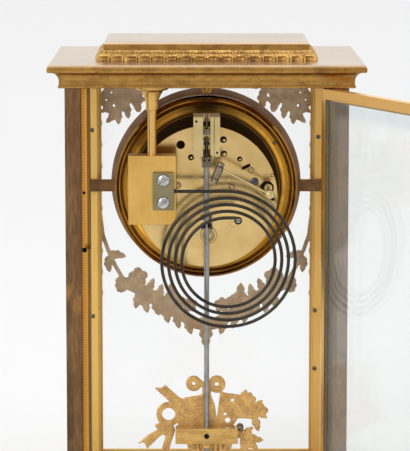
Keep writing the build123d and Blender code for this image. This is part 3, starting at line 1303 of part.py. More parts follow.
def door_pieces():
    return {
        "rear_door_frame": opened(door_frame(REAR_CATCH_HEIGHT)),
        "rear_door_glass": opened(door_glass()),
        "rear_door_pins": opened(door_pins()),
        "rear_door_catch": opened(door_catch(REAR_CATCH_HEIGHT)),
        "front_door_frame": front_door_frame(),
        "front_door_glass": mirror(door_glass(), Plane.XZ),
        "front_door_pins": mirror(door_pins(), Plane.XZ),
        "front_door_catch": mirror(door_catch(FRONT_CATCH_HEIGHT), Plane.XZ),
        "front_garland": front_garland(),
        "garland_screws": garland_screws(),
    }


def movement_pieces():
    return {
        "bezel_ring": bezel_ring(),
        "movement_rim": movement_rim(),
        "bracket_left": bracket(-1),
        "bracket_right": bracket(1),
        "dial": dial(),
        "front_plate": front_plate(),
        "back_plate": back_plate(),
        "movement_pillars": movement_pillars(),
        "going_barrel": barrel(GOING),
        "intermediate_wheel": intermediate_wheel(),
        "centre_wheel": centre_wheel(),
        "third_wheel": third_wheel(),
        "escape_wheel": escape_wheel(),
        "strike_barrel": barrel(STRIKING),
        "pin_wheel": pin_wheel(),
        "fly": fly(),
        "minute_wheel": minute_wheel(),
        "hour_wheel": hour_wheel(),
        "hour_hand": hand(HOUR_HAND_REACH, HOUR_HAND_HALF, HOUR_PIPE_RADIUS + TIGHT_FIT, HOUR_HAND_FRONT),
        "minute_hand": hand(
            MINUTE_HAND_REACH, MINUTE_HAND_HALF, CANNON_RADIUS + TIGHT_FIT, MINUTE_HAND_FRONT
        ),
        "pallets": pallets(),
        "crutch": crutch(),
        "hammer_arm": hammer_arm(),
        "hammer_head": hammer_head(),
    }


def pendulum_and_gong_pieces():
    return {
        "suspension_bracket": suspension_bracket(),
        "suspension_chop": suspension_chop(),
        "suspension_spring": suspension_spring(),
        "pendulum_rod": pendulum_rod(),
        "bob_block": bob_block(),
        "rating_nut": rating_nut(),
        "bob_trophy": bob_trophy(),
        "gong_post": gong_post(),
        "gong_block": gong_block(),
        "gong_clamp": gong_clamp(),
        "gong_screws": gong_screws(),
        "gong_coil": gong_coil(),
    }


os.makedirs("parts", exist_ok=True)
for pieces in (case_pieces(), door_pieces(), movement_pieces(), pendulum_and_gong_pieces()):
    for name, shape in pieces.items():
        export_step(shape, f"parts/{name}.step")
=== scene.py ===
# %% [markdown]
# # Dressing a four-glass mantel clock
#
# The clock stands on a pale floor with its back to us and its rear door open. The measured solids
# of every plate, wheel, pillar and pane are loaded first and are never moved. This lesson gives
# them their finishes and adds what a solid model leaves out: cast leaves, a wound gong, numerals,
# screws and pins.

# %% Load the clock
import bpy
import bmesh
from math import atan2, cos, hypot, pi, radians, sin
from mathutils import Matrix, Vector


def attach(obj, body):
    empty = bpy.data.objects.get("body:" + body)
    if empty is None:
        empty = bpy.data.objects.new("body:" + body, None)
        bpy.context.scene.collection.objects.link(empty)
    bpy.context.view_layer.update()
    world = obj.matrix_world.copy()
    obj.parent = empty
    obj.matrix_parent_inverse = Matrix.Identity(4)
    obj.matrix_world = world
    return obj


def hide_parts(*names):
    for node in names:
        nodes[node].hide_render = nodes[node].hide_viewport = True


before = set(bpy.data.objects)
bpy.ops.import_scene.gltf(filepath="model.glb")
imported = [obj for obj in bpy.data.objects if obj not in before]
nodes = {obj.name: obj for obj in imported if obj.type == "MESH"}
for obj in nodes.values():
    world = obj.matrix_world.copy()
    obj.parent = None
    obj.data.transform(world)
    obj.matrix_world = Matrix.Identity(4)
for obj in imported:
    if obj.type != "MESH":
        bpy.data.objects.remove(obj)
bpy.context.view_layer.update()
MM = 0.001

# %% [markdown]
# ## The viewpoint
#
# A photograph taken from far away with a long lens has nearly parallel edges. The places where the
# cornice's receding edges meet give the camera's height and tilt, and the width of the case then
# gives the distance. A camera placed by these few measured values sees the clock as the
# photographer did.

# %% Camera
IMAGE_HEIGHT_PX = 451
FOCAL_PX = 2600
SENSOR_MM = 36.0
CAMERA_PLACE = Vector((7.4, 1593.0, 419.5)) * MM
CAMERA_TILT_DEG = 8.25
CAMERA_TURN_DEG = 179.764
FAR_CLIP = 20


def deselect_all():
    bpy.ops.object.select_all(action="DESELECT")


def add_new(operator, **settings):
    """Adds one thing to an empty selection, because an operator acts on all that is selected."""
    deselect_all()
    operator(**settings)
    return bpy.context.object


camera = add_new(
    bpy.ops.object.camera_add,
    location=CAMERA_PLACE,
    rotation=(radians(90 - CAMERA_TILT_DEG), 0, radians(CAMERA_TURN_DEG)),
)
camera.name = "camera"
camera.data.sensor_width = SENSOR_MM
camera.data.lens = SENSOR_MM * FOCAL_PX / IMAGE_HEIGHT_PX
camera.data.clip_end = FAR_CLIP
bpy.context.scene.camera = camera
print("camera lens", round(camera.data.lens, 1), "mm")

# %% [markdown]
# ## Shader sums
#
# A finish is a small graph of nodes. Writing `1 - mask * 0.4` is easier to read than three linked
# boxes, so a socket is wrapped in a class whose operators add the Math nodes. Every other kind of
# node comes from one method, which takes the node's settings first and then its values or links.

# %% Shade and Graph classes
class Shade:
    """A socket of a graph that Python sums can use."""

    def __init__(self, graph, socket):
        self.graph = graph
        self.socket = socket

    def combine(self, operation, first, second):
        return self.graph.node("ShaderNodeMath", {"operation": operation}, {0: first, 1: second})

    def __add__(self, other):
        return self.combine("ADD", self, other)

    def __radd__(self, other):
        return self.combine("ADD", other, self)

    def __sub__(self, other):
        return self.combine("SUBTRACT", self, other)

    def __rsub__(self, other):
        return self.combine("SUBTRACT", other, self)

    def __mul__(self, other):
        return self.combine("MULTIPLY", self, other)

    def __rmul__(self, other):
        return self.combine("MULTIPLY", other, self)

    def __pow__(self, other):
        return self.combine("POWER", self, other)

    def __abs__(self):
        return self.combine("ABSOLUTE", self, 0.0)

    def sine(self):
        return self.combine("SINE", self, 0.0)


class Graph:
    """The nodes of a material or of the world, all made by one method."""

    def __init__(self, owner):
        owner.use_nodes = True
        self.tree = owner.node_tree

    def node(self, kind, settings=None, sockets=None, output=0):
        """Any node: its settings are set first, then the values or links of its sockets."""
        made = self.tree.nodes.new(kind)
        for name, value in (settings or {}).items():
            if name == "stops":
                self.set_stops(made.color_ramp, value)
            else:
                setattr(made, name, value)
        for key, value in (sockets or {}).items():
            if isinstance(value, Shade):
                self.tree.links.new(value.socket, made.inputs[key])
            else:
                made.inputs[key].default_value = value
        return Shade(self, made.outputs[output])

    def set_stops(self, ramp, stops):
        while len(ramp.elements) < len(stops):
            ramp.elements.new(0.5)
        for element, (place, colour) in zip(ramp.elements, stops):
            element.position = place
            element.color = (*colour, 1)

    def grey_ramp(self, value, low, high):
        """0 below low, 1 above high."""
        sockets = {"Value": value, "From Min": low, "From Max": high}
        return self.node("ShaderNodeMapRange", {}, sockets)

    def mix(self, share, first, second):
        """Colour that goes from first to second."""
        colours = [c if isinstance(c, Shade) else (*c, 1) for c in (first, second)]
        sockets = {0: share, 6: colours[0], 7: colours[1]}  # 6 and 7 are the node's two colours
        return self.node("ShaderNodeMix", {"data_type": "RGBA"}, sockets, output=2)


print("shader sums ready")

# %% [markdown]
# ## One finish, one shader
#
# Every finish here ends in one Principled shader. What a surface shows is worked out from where a
# point lies on the clock: how far it is from the movement's axis or from the door's hinge, which
# way its face points and how deep it sits in a hollow. Each method below gives one of these as a
# value that sums can use.

# %% Finish class
AXIS_HEIGHT = 209.3
HINGE_PLACE = (-71.8, 64.5)


class Finish(Graph):
    """A material that ends in one Principled shader."""

    def __init__(self, name, **constants):
        self.material = bpy.data.materials.new(name)
        super().__init__(self.material)
        self.shader = self.tree.nodes["Principled BSDF"]
        for key, value in constants.items():
            self.input(key).default_value = value

    def input(self, name):
        """The shader's socket for a name such as base_color."""
        return self.shader.inputs[name.replace("_", " ").title()]

    def feed(self, **links):
        """Links values that change over the surface to the shader."""
        for name, value in links.items():
            self.tree.links.new(value.socket, self.input(name))
        return self

    def place(self):
        """Where a point lies on the clock, in metres."""
        return self.node("ShaderNodeTexCoord", output="Object")

    def stretched(self, scale):
        """Place scaled apart along each axis, for streaks and brushed lines."""
        return self.node("ShaderNodeMapping", {}, {"Vector": self.place(), "Scale": scale})

    def noise(self, size_mm, detail=4.0, where=None):
        """Clouded value whose lumps are about the given size."""
        vector = where or self.place()
        sockets = {"Vector": vector, "Scale": 1 / (size_mm * MM), "Detail": detail}
        return self.node("ShaderNodeTexNoise", {}, sockets)

    def rise(self, value, low_mm, high_mm):
        """0 before the first place and 1 past the second."""
        return self.grey_ramp(value, low_mm * MM, high_mm * MM)

    def band(self, value, low_mm, high_mm, soft_mm=0.08):
        """1 between two places, with soft edges."""
        start = self.rise(value, low_mm - soft_mm, low_mm + soft_mm)
        end = self.rise(value, high_mm - soft_mm, high_mm + soft_mm)
        return start * (1 - end)

    def bump(self, height, strength, depth_mm, normal=None):
        """Fine relief in the Normal."""
        sockets = {"Height": height, "Strength": strength, "Distance": depth_mm * MM}
        if normal:
            sockets["Normal"] = normal
        return self.feed(normal=self.node("ShaderNodeBump", {}, sockets))

    def along(self, axis):
        """One coordinate of a point's place, in metres."""
        return self.node("ShaderNodeSeparateXYZ", {}, {"Vector": self.place()}, output=axis)

    def facing(self, axis, low=0.3, high=0.8):
        """1 where a face points along the axis, 0 where it stands square to it."""
        normal = self.node("ShaderNodeTexCoord", output="Normal")
        part = self.node("ShaderNodeSeparateXYZ", {}, {"Vector": normal}, output=axis)
        return self.grey_ramp(part, low, high)

    def distance(self, centre_mm, axes):
        """Distance from a point, in metres, counting only the axes that are given as 1."""
        start = [-c * MM for c in centre_mm]
        sockets = {"Vector": self.place(), "Location": start, "Scale": axes}
        centred = self.node("ShaderNodeMapping", {}, sockets)
        settings = {"operation": "LENGTH"}
        return self.node("ShaderNodeVectorMath", settings, {0: centred}, output="Value")

    def reach(self):
        """Distance from the movement's axis."""
        return self.distance((0, 0, AXIS_HEIGHT), (1, 0, 1))

    def from_hinge(self):
        """Distance from the rear door's hinge."""
        return self.distance((*HINGE_PLACE, 0), (1, 1, 0))

    def lathe_lines(self, pitch_mm):
        """Value that changes only with the distance from the axis, as turning marks do."""
        rings = self.node("ShaderNodeCombineXYZ", {}, {"X": self.reach()})
        return self.noise(pitch_mm, 3, rings)

    def hollows(self, reach_mm, own=True):
        """1 deep in corners and hollows, 0 in the open; own leaves out the neighbours."""
        settings = {"samples": 6, "only_local": own}
        sockets = {"Distance": reach_mm * MM}
        return 1 - self.node("ShaderNodeAmbientOcclusion", settings, sockets, output="AO")

    def rounded(self, radius_mm):
        """Normal that is softened near edges, as if every arris had been eased with a file."""
        return self.node("ShaderNodeBevel", {"samples": 4}, {"Radius": radius_mm * MM})


print("finish class ready")

# %% [markdown]
# ## Brass that has aged
#
# The case is solid brass. Where hands and polish reach it stays golden; the broad faces have gone
# brown. Two layers of noise decide where the brown lies: a large one for the clouds and a small one
# for the specks. The roughness follows the same mask, because tarnish is duller than metal. Corners
# and hollows are darkened with grime and painted shade, and the tops take a painted pale
# reflection.

# %% Aged brass
# painted reflection: pale colours for faces that point up, as if mirroring the bright room
PALE_TOP_SHEEN = (0.63, 0.49, 0.345)
DIM_TOP_SHEEN = (0.53, 0.4, 0.27)


def darker(colour, share):
    return [c * share for c in colour]


def aged_brass(name, bright, brown, cover, eased_mm=0.35):
    """Brass with brown clouds; cover is the share of the surface that has darkened."""
    finish = Finish(name, metallic=1.0)
    clouds = finish.noise(38, 5)
    streaks = finish.noise(9, 6, finish.stretched((1, 1, 0.12)))
    specks = finish.grey_ramp(finish.noise(1.6, 3), 0.6, 0.68)
    lowered = 0.6 * cover
    patina = finish.grey_ramp(clouds * 0.65 + streaks * 0.35, 0.78 - lowered, 0.98 - lowered)
    mottle = finish.grey_ramp(finish.noise(3.2, 6, finish.stretched((0.45, 0.45, 1))), 0.46, 0.62)
    tone = finish.mix(mottle * 0.4, finish.mix(patina, bright, brown), darker(brown, 0.62))
    speckled = finish.mix(specks * 0.45, tone, darker(brown, 0.45))
    # painted shade, with some grime: corners and hollows darkened from an ambient occlusion mask
    hollow_grime_and_shade = finish.mix(finish.grey_ramp(finish.hollows(5), 0.05, 0.7), speckled, darker(brown, 0.3))
    # painted reflection: up-facing faces take the pale top colours
    top = finish.facing("Z")
    top_sheen = finish.mix(finish.grey_ramp(finish.noise(40, 3), 0.3, 0.75), PALE_TOP_SHEEN, DIM_TOP_SHEEN)
    finish.feed(base_color=finish.mix(top * 0.94, hollow_grime_and_shade, top_sheen))
    finish.feed(roughness=0.2 + patina * 0.14 * (1 - top) + finish.noise(3, 4) * 0.1)
    finish.bump(finish.noise(1.1, 5), 0.12, 0.12, finish.rounded(eased_mm))
    return finish.material


case_brass = aged_brass("case_brass", (0.43, 0.226, 0.057), (0.25, 0.122, 0.034), 0.5)
bracket_brass = aged_brass("bracket_brass", (0.34, 0.18, 0.075), (0.16, 0.08, 0.038), 0.6)
bob_brass = aged_brass("bob_brass", (0.64, 0.39, 0.125), (0.45, 0.26, 0.085), 0.4, 0.5)
print("aged brass for the case, the brackets and the bob")

# %% [markdown]
# ## Satin brass
#
# Frames, strips and the gong's block are brushed along their length. Noise that is stretched along
# one axis gives the lines. Rear faces get painted light: a share of their metal look is taken away,
# so they read paler, and corners next to other parts get painted shade. On the open door the top
# rail catches the light and the reveal by the hinge lies in shade; both are painted into the
# colour.

# %% Satin brass
RAIL_HIGHLIGHT = (1.0, 0.63, 0.22)
RAIL_RISE = (271.5, 272.5)
REVEAL_SHADE = (0.05, 0.028, 0.01)
REVEAL_EDGE = (9, 11)


def satin_brass(name, bright, shade, grain_axis, grain_mm=0.5, eased_mm=0.3,
                pale=0.0, dirt_and_corner_shade=0.75, door=False):
    """Clean brass with brushed lines along one axis; pale is the share of painted light on rear
    faces.
    """
    finish = Finish(name, metallic=1.0)
    scale = [1.0, 1.0, 1.0]
    scale["XYZ".index(grain_axis)] = 0.03
    grain = finish.noise(grain_mm, 3, finish.stretched(scale))
    clouds = finish.noise(22, 4)
    tone = finish.mix(finish.grey_ramp(clouds, 0.35, 0.75), bright, shade)
    lined = finish.mix(finish.grey_ramp(grain, 0.3, 0.9) * 0.35, tone, darker(shade, 0.72))
    # painted light: rear faces take a flat, less metallic colour that reads paler
    if pale:
        rear = finish.facing("Y")
        lined = finish.mix(rear, darker(shade, 0.82), lined)
        finish.feed(metallic=1 - rear * pale)
    if door:
        # painted highlight on the top rail, and painted shade in the reveal by the hinge
        rail = finish.rise(finish.along("Z"), *RAIL_RISE)
        hinge_side = 1 - finish.rise(finish.from_hinge(), *REVEAL_EDGE)
        reveal = finish.facing("Y", 0.6, 0.85) * hinge_side
        lined = finish.mix(reveal * 0.9, finish.mix(rail, lined, RAIL_HIGHLIGHT), REVEAL_SHADE)
    # painted shade: corners next to other parts are darkened from an ambient occlusion mask
    corner = finish.grey_ramp(finish.hollows(1.6, own=False), 0.3, 0.75)
    finish.feed(base_color=finish.mix(corner * dirt_and_corner_shade, lined, darker(shade, 0.12)))
    finish.feed(roughness=0.2 + grain * 0.16 + clouds * 0.08)
    finish.bump(grain, 0.08, 0.06, finish.rounded(eased_mm))
    return finish.material


inner_brass = satin_brass(
    "inner_brass", (1.0, 0.68, 0.19), (1.0, 0.62, 0.15), "Z", pale=0.55, dirt_and_corner_shade=0.2)
door_brass = satin_brass("door_brass", (0.84, 0.52, 0.17), (0.66, 0.38, 0.1), "Z")
frame_brass = satin_brass("frame_brass", (0.88, 0.55, 0.18), (0.7, 0.41, 0.11), "Z", door=True)
# painted shade: a darker, more metallic copy of inner_brass for pillar_front_left, which lies in
# less light
shaded_strip_brass = satin_brass(
    "shaded_strip_brass", (1.0, 0.63, 0.2), (0.9, 0.53, 0.14), "Z", pale=0.2, dirt_and_corner_shade=0.25)
block_brass = satin_brass("block_brass", (0.74, 0.46, 0.13), (0.6, 0.35, 0.085), "Z", 0.7, 0.6)
clamp_brass = satin_brass("clamp_brass", (0.3, 0.26, 0.14), (0.2, 0.17, 0.09), "X", 0.9)
print("satin brass for the doors, strips, block and clamp")

# %% [markdown]
# ## Pillars with a milled rebate
#
# The rear pillars have a rebate that the door shuts into. On the catch side its floor still shows
# the cutter's fine cross lines, a sine along the height, and it is golden because air and hands
# don't reach it. Thin dark seams run beside it, and one patch of the brown face has been rubbed
# through to the gold.

# %% Milled pillars
MILLING_PITCH = 1.15
MILLED_STRIP = (71.1, 74.4)
DARK_SEAM = (69.2, 70.9)
HINGE_SEAM = (70.9, 74.4)
WORN_PATCH = (147, 160)


def milled_pillar(name, bright, brown, gold):
    """Aged brass whose rebate for the door is a golden strip of fine cross lines."""
    finish = Finish(name, metallic=1.0)
    across = abs(finish.along("X"))
    rear = finish.facing("Y")
    catch_side = finish.rise(finish.along("X"), -10, 10)
    strip = finish.band(across, *MILLED_STRIP) * rear * catch_side
    hinge_seam = finish.band(across, *HINGE_SEAM) * rear * (1 - catch_side)
    seam = finish.band(across, *DARK_SEAM) * rear + hinge_seam
    lines = 0.5 + 0.5 * (finish.along("Z") * (2 * pi / (MILLING_PITCH * MM))).sine()
    clouds = finish.noise(26, 5)
    streaks = finish.noise(7, 6, finish.stretched((1, 1, 0.08)))
    patina = finish.grey_ramp(clouds * 0.5 + streaks * 0.5, 0.36, 0.62)
    patch = finish.band(finish.along("Z"), *WORN_PATCH, 4.0) * finish.rise(finish.along("X"), 0, 10)
    rubbed = finish.noise(6, 4, finish.stretched((1, 1, 0.4)))
    worn = finish.grey_ramp(rubbed, 0.42, 0.7) * patch + finish.grey_ramp(rubbed, 0.66, 0.8) * 0.25
    brushed = finish.grey_ramp(finish.noise(1.4, 5, finish.stretched((1, 1, 0.16))), 0.38, 0.66)
    plain = finish.mix(brushed * 0.5, finish.mix(patina, bright, brown), darker(brown, 0.55))
    face = finish.mix(worn * 0.5, plain, gold)
    seam_tone = finish.mix(catch_side, darker(brown, 0.3), darker(gold, 0.22))
    seamed = finish.mix(seam * 0.8, face, seam_tone)
    ridged = finish.mix(lines * 0.7 + clouds * 0.2, darker(gold, 0.42), gold)
    finish.feed(base_color=finish.mix(strip, seamed, ridged))
    finish.feed(roughness=0.26 + patina * 0.16 + finish.noise(2, 4) * 0.1)
    finish.bump(lines * strip + finish.noise(1.1, 5) * 0.25, 0.4, 0.25, finish.rounded(0.35))
    return finish.material


pillar_brass = milled_pillar(
    "pillar_brass", (0.275, 0.152, 0.068), (0.125, 0.067, 0.034), (0.95, 0.46, 0.09))
print("milled brass for the rear pillars")

# %% [markdown]
# ## Turned and polished brass
#
# Wheels, plates, the rim and the gong's post come off a lathe. Noise that depends only on the
# distance from the movement's axis gives the fine rings that the tool leaves. The bezel is gilt on
# the dial side, and its rear faces are painted a darker brown as shade.

# %% Turned brass
def two_faced_brass(name, back, front):
    """Gilt in front, with painted shade behind: rear faces take a darker brown."""
    finish = Finish(name, metallic=1.0)
    clouds = finish.grey_ramp(finish.noise(11, 5), 0.35, 0.75)
    rear = finish.facing("Y")
    # painted shade: faces that point to the rear take the dark back colour
    shaded_rear = finish.mix(clouds, back, darker(back, 0.62))
    gilt = finish.mix(clouds, front, darker(front, 0.82))
    finish.feed(base_color=finish.mix(rear, gilt, shaded_rear))
    finish.feed(roughness=0.18 + rear * 0.16 + clouds * 0.06)
    finish.bump(finish.lathe_lines(0.5), 0.08, 0.08, finish.rounded(0.3))
    return finish.material


def polished_brass(name, bright, shade, roughness):
    """Lathe-turned and polished brass with faint clouds of handling."""
    finish = Finish(name, metallic=1.0)
    clouds = finish.noise(16, 5)
    lines = finish.lathe_lines(0.7)
    tone = finish.grey_ramp(clouds * 0.7 + lines * 0.3, 0.38, 0.72)
    finish.feed(base_color=finish.mix(tone, bright, shade))
    finish.feed(roughness=roughness + finish.grey_ramp(finish.noise(5, 5), 0.4, 0.8) * 0.08)
    finish.bump(lines * 0.6 + clouds * 0.4, 0.06, 0.08, finish.rounded(0.2))
    return finish.material


rim_brass = polished_brass("rim_brass", (0.34, 0.16, 0.027), (0.16, 0.065, 0.012), 0.12)
plate_brass = polished_brass("plate_brass", (0.66, 0.47, 0.2), (0.5, 0.33, 0.12), 0.12)
pale_brass = polished_brass("pale_brass", (0.66, 0.52, 0.26), (0.5, 0.37, 0.16), 0.2)
post_brass = polished_brass("post_brass", (0.72, 0.44, 0.14), (0.52, 0.3, 0.08), 0.24)
bezel_brass = two_faced_brass("bezel_brass", (0.36, 0.235, 0.155), (0.78, 0.5, 0.17))
print("turned brass for the movement")

# %% [markdown]
# ## The front plate
#
# Behind the back plate we look down into the movement as into a well. The front plate is its floor:
# golden in a ring next to the rim, painted dark brown as shade further in, and dark at the top,
# where the suspension keeps the light out.

# %% Front plate
SHADE_EDGE = (46.8, 48.2)
THIN_RING = (45.7, 46.2)
RIM_SHADOW = (49.4, 49.9)
SHADED_HEIGHT = (243, 262)
SHADED_HALF_WIDTH = (12, 30)


def shaded_plate(name, gold, dark):
    """Front plate: bright where it meets the rim, and painted dark as shade further in."""
    finish = Finish(name, metallic=1.0)
    reach = finish.reach()
    lines = finish.lathe_lines(0.8)
    # painted shade: inside the golden ring the plate is dark, as the deep movement lies in shade
    inner = 1 - finish.rise(reach, *SHADE_EDGE)
    thin_ring = finish.band(reach, *THIN_RING)
    stain = finish.grey_ramp(finish.noise(12, 5) + lines * 0.3, 0.5, 0.85)
    outer = finish.mix(stain, gold, darker(gold, 0.5))
    edged = finish.mix(finish.rise(reach, *RIM_SHADOW) * 0.7, outer, darker(gold, 0.25))
    shaded_in = finish.mix(inner * (1 - thin_ring * 0.5), edged, dark)
    aside = finish.rise(abs(finish.along("X")), *SHADED_HALF_WIDTH)
    top = finish.rise(finish.along("Z"), *SHADED_HEIGHT) * (1 - aside)
    finish.feed(base_color=finish.mix(top * 0.9, shaded_in, dark))
    finish.feed(roughness=0.16 + inner * 0.25 + lines * 0.1)
    finish.bump(lines, 0.1, 0.1)
    return finish.material


inside_brass = shaded_plate("inside_brass", (0.95, 0.46, 0.06), (0.045, 0.024, 0.01))
print("front plate finish made")

# %% [markdown]
# ## Steel and enamel
#
# The gong and hands are blued steel that has gone nearly black; screws and the rod are bright. Fine
# lengthwise marks come from noise that is stretched along the height. The dial is fired enamel, a
# white glass with a faint ripple under its gloss.

# %% Steel and enamel finishes
def steel(name, light, dark, roughness):
    """Drawn or turned steel with fine lengthwise marks."""
    finish = Finish(name, metallic=1.0)
    marks = finish.noise(0.6, 4, finish.stretched((1, 1, 0.08)))
    clouds = finish.noise(7, 4)
    tone = finish.mix(finish.grey_ramp(clouds * 0.6 + marks * 0.4, 0.35, 0.7), light, dark)
    # painted shade: small hollows darkened from an ambient occlusion mask
    hollow_shade = finish.grey_ramp(finish.hollows(0.9), 0.15, 0.6)
    finish.feed(base_color=finish.mix(hollow_shade, tone, darker(dark, 0.15)))
    finish.feed(roughness=roughness + marks * 0.16)
    finish.bump(marks, 0.08, 0.05, finish.rounded(0.15))
    return finish.material


def enamel(name):
    """Fired white enamel: a warm white with a faint ripple under a clear gloss."""
    finish = Finish(name, metallic=0.0, coat_weight=0.6, coat_roughness=0.03)
    clouds = finish.noise(20, 3)
    finish.feed(base_color=finish.mix(clouds, (0.86, 0.84, 0.78), (0.8, 0.77, 0.7)))
    finish.feed(roughness=0.16 + finish.noise(4, 3) * 0.1)
    finish.bump(finish.noise(9, 2), 0.06, 0.1)
    return finish.material


bright_steel = steel("bright_steel", (0.5, 0.48, 0.46), (0.3, 0.28, 0.26), 0.22)
dark_steel = steel("dark_steel", (0.062, 0.056, 0.05), (0.03, 0.026, 0.023), 0.26)
rod_steel = steel("rod_steel", (0.4, 0.38, 0.36), (0.2, 0.19, 0.18), 0.25)
chop_steel = steel("chop_steel", (0.24, 0.2, 0.15), (0.11, 0.09, 0.065), 0.3)
hammer_steel = steel("hammer_steel", (0.36, 0.29, 0.2), (0.07, 0.052, 0.036), 0.07)
blued_screw = steel("blued_screw", (0.17, 0.185, 0.235), (0.08, 0.085, 0.115), 0.14)
# painted shade: flat black discs stand for the dark inside of holes and sinks
hole_shade_black = steel("hole_shade_black", (0.02, 0.016, 0.012), (0.008, 0.006, 0.005), 0.5)
nickel = steel("nickel", (0.6, 0.59, 0.58), (0.19, 0.185, 0.18), 0.06)
white_enamel = enamel("white_enamel")
print("steel and enamel made")

# %% [markdown]
# ## Glass
#
# The panes are thin, so they let straight light through and only add a reflection that grows
# towards the edge-on view: a transparent shader and a mirror, mixed by how far the pane is turned
# from us. The open door's pane has a ground border, which sends the light sideways and so looks
# darker.

# %% Glass finishes
PANE_WHITE = (0.93, 0.96, 0.95, 1)
BEVEL_TINT = (0.8, 0.87, 0.87, 1)
BEVEL_HEIGHTS = (40.0, 264.5)
BEVEL_REACH = (12.9, 130.7)


def ground_edge(finish, glass):
    """Darkens the sloping border of the open door's pane, where the light leaves it sideways."""
    across = finish.band(finish.from_hinge(), *BEVEL_REACH, 0.5)
    flat = across * finish.band(finish.along("Z"), *BEVEL_HEIGHTS, 2.5)
    greener = finish.node("ShaderNodeBsdfTransparent", {}, {"Color": BEVEL_TINT})
    return finish.node("ShaderNodeMixShader", {}, {0: (1 - flat) * 0.45, 1: glass, 2: greener})


def pane(name, tint, film, ground=False):
    """Thin clear glass with a faint film of dust in its gloss."""
    finish = Finish(name, metallic=0.4, base_color=PANE_WHITE)
    smears = finish.grey_ramp(finish.noise(30, 4), 0.45, 0.8)
    finish.feed(roughness=0.02 + smears * 0.04)
    edge_on = finish.node("ShaderNodeLayerWeight", {}, {"Blend": 0.5}, output="Facing")
    clear = finish.node("ShaderNodeBsdfTransparent", {}, {"Color": (*tint, 1)})
    shine = Shade(finish, finish.shader.outputs[0])
    share = film + smears * film * 0.4 + edge_on ** 5.0 * 0.6
    both = finish.node("ShaderNodeMixShader", {}, {0: share, 1: clear, 2: shine})
    if ground:
        both = ground_edge(finish, both)
    surface = finish.tree.nodes["Material Output"].inputs["Surface"]
    finish.tree.links.new(both.socket, surface)
    return finish.material


clear_glass = pane("clear_glass", (0.985, 0.99, 0.987), 0.03)
door_pane = pane("door_pane", (0.965, 0.974, 0.97), 0.1, ground=True)
print("glass made")

# %% [markdown]
# ## Which finish each solid takes
#
# One table names the solids for each finish, as a restorer would sort the parts into trays before
# polishing.

# %% Finishes of the solids
FINISH_OF = {
    case_brass: "base_plinth cornice top_cap leaf_plinth cap_stud",
    pillar_brass: "pillar_rear_left pillar_rear_right",
    bracket_brass: "bracket_left bracket_right",
    inner_brass: "pillar_front_right front_door_frame",
    door_brass: "garland_screws rear_door_catch front_door_catch",
    frame_brass: "rear_door_frame",
    shaded_strip_brass: "pillar_front_left",
    bezel_brass: "bezel_ring",
    block_brass: "gong_post gong_block front_garland bob_trophy",
    bob_brass: "bob_block rating_nut",
    rim_brass: "movement_rim movement_pillars",
    inside_brass: "front_plate",
    plate_brass: "back_plate going_barrel strike_barrel intermediate_wheel centre_wheel "
                 "third_wheel pin_wheel fly minute_wheel hour_wheel",
    pale_brass: "suspension_bracket hammer_arm",
    clamp_brass: "gong_clamp",
    bright_steel: "sole_plate rear_door_pins front_door_pins pallets escape_wheel gong_screws",
    chop_steel: "suspension_spring suspension_chop",
    rod_steel: "pendulum_rod",
    hammer_steel: "hammer_head",
    dark_steel: "gong_coil hour_hand minute_hand crutch",
    white_enamel: "dial",
    clear_glass: "side_glass_left side_glass_right front_door_glass",
    door_pane: "rear_door_glass",
}
for material, names in FINISH_OF.items():
    for name in names.split():
        nodes[name].data.materials.clear()
        nodes[name].data.materials.append(material)
print("finished", sum(len(names.split()) for names in FINISH_OF.values()), "solids")

# %% [markdown]
# ## Working by hand, in code
#
# Every new piece is modelled as it would be at the screen: add a simple form, go into edit mode,
# select some faces and push, inset or bevel them. Small helpers keep that short. One pair goes into
# edit mode and leaves it with the faces turned outwards, one applies a modifier, and one hands the
# finished piece over: its place goes into its mesh, it takes a finish and it rides on a moving
# group.

# %% Modelling helpers
def make_active(piece):
    deselect_all()
    piece.select_set(True)
    bpy.context.view_layer.objects.active = piece


def enter_edit():
    """Edit mode on the active piece, with all of it selected."""
    bpy.ops.object.mode_set(mode="EDIT")
    bpy.ops.mesh.select_all(action="SELECT")


def leave_edit(outward=True):
    """Back to object mode, with the faces turned outwards first."""
    if outward:
        bpy.ops.mesh.select_all(action="SELECT")
        bpy.ops.mesh.normals_make_consistent(inside=False)
    bpy.ops.object.mode_set(mode="OBJECT")


def apply_modifier(piece, kind, **settings):
    """Adds a modifier, sets it and applies it at once."""
    make_active(piece)
    modifier = piece.modifiers.new(kind.lower(), kind)
    for name, value in settings.items():
        setattr(modifier, name, value)
    bpy.ops.object.modifier_apply(modifier=modifier.name)


def join(pieces, name):
    """Joins pieces into the first of them."""
    deselect_all()
    for piece in pieces:
        piece.select_set(True)
    bpy.context.view_layer.objects.active = pieces[0]
    if len(pieces) > 1:
        bpy.ops.object.join()
    pieces[0].name = name
    return pieces[0]


def stamp(pattern, matrix):
    """A copy of a pattern with its own mesh, moved to its place."""
    copy = pattern.copy()
    copy.data = pattern.data.copy()
    copy.data.transform(matrix)
    bpy.context.collection.objects.link(copy)
    return copy


def hand_over(piece, body, material, stands_for=(), smooth_deg=None):
    """Applies the piece's place, gives it its finish and lets it ride on a body."""
    make_active(piece)
    bpy.ops.object.transform_apply(location=True, rotation=True, scale=True)
    if smooth_deg:
        bpy.ops.object.shade_smooth_by_angle(angle=radians(smooth_deg))
    piece.data.materials.clear()
    piece.data.materials.append(material)
    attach(piece, body)
    if stands_for:
        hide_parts(*stands_for)
    print(piece.name, "has", len(piece.data.polygons), "faces")
    return piece


def drop_pattern(pattern):
    """Removes a pattern once its copies are made."""
    mesh = pattern.data
    bpy.data.objects.remove(pattern)
    bpy.data.meshes.remove(mesh)


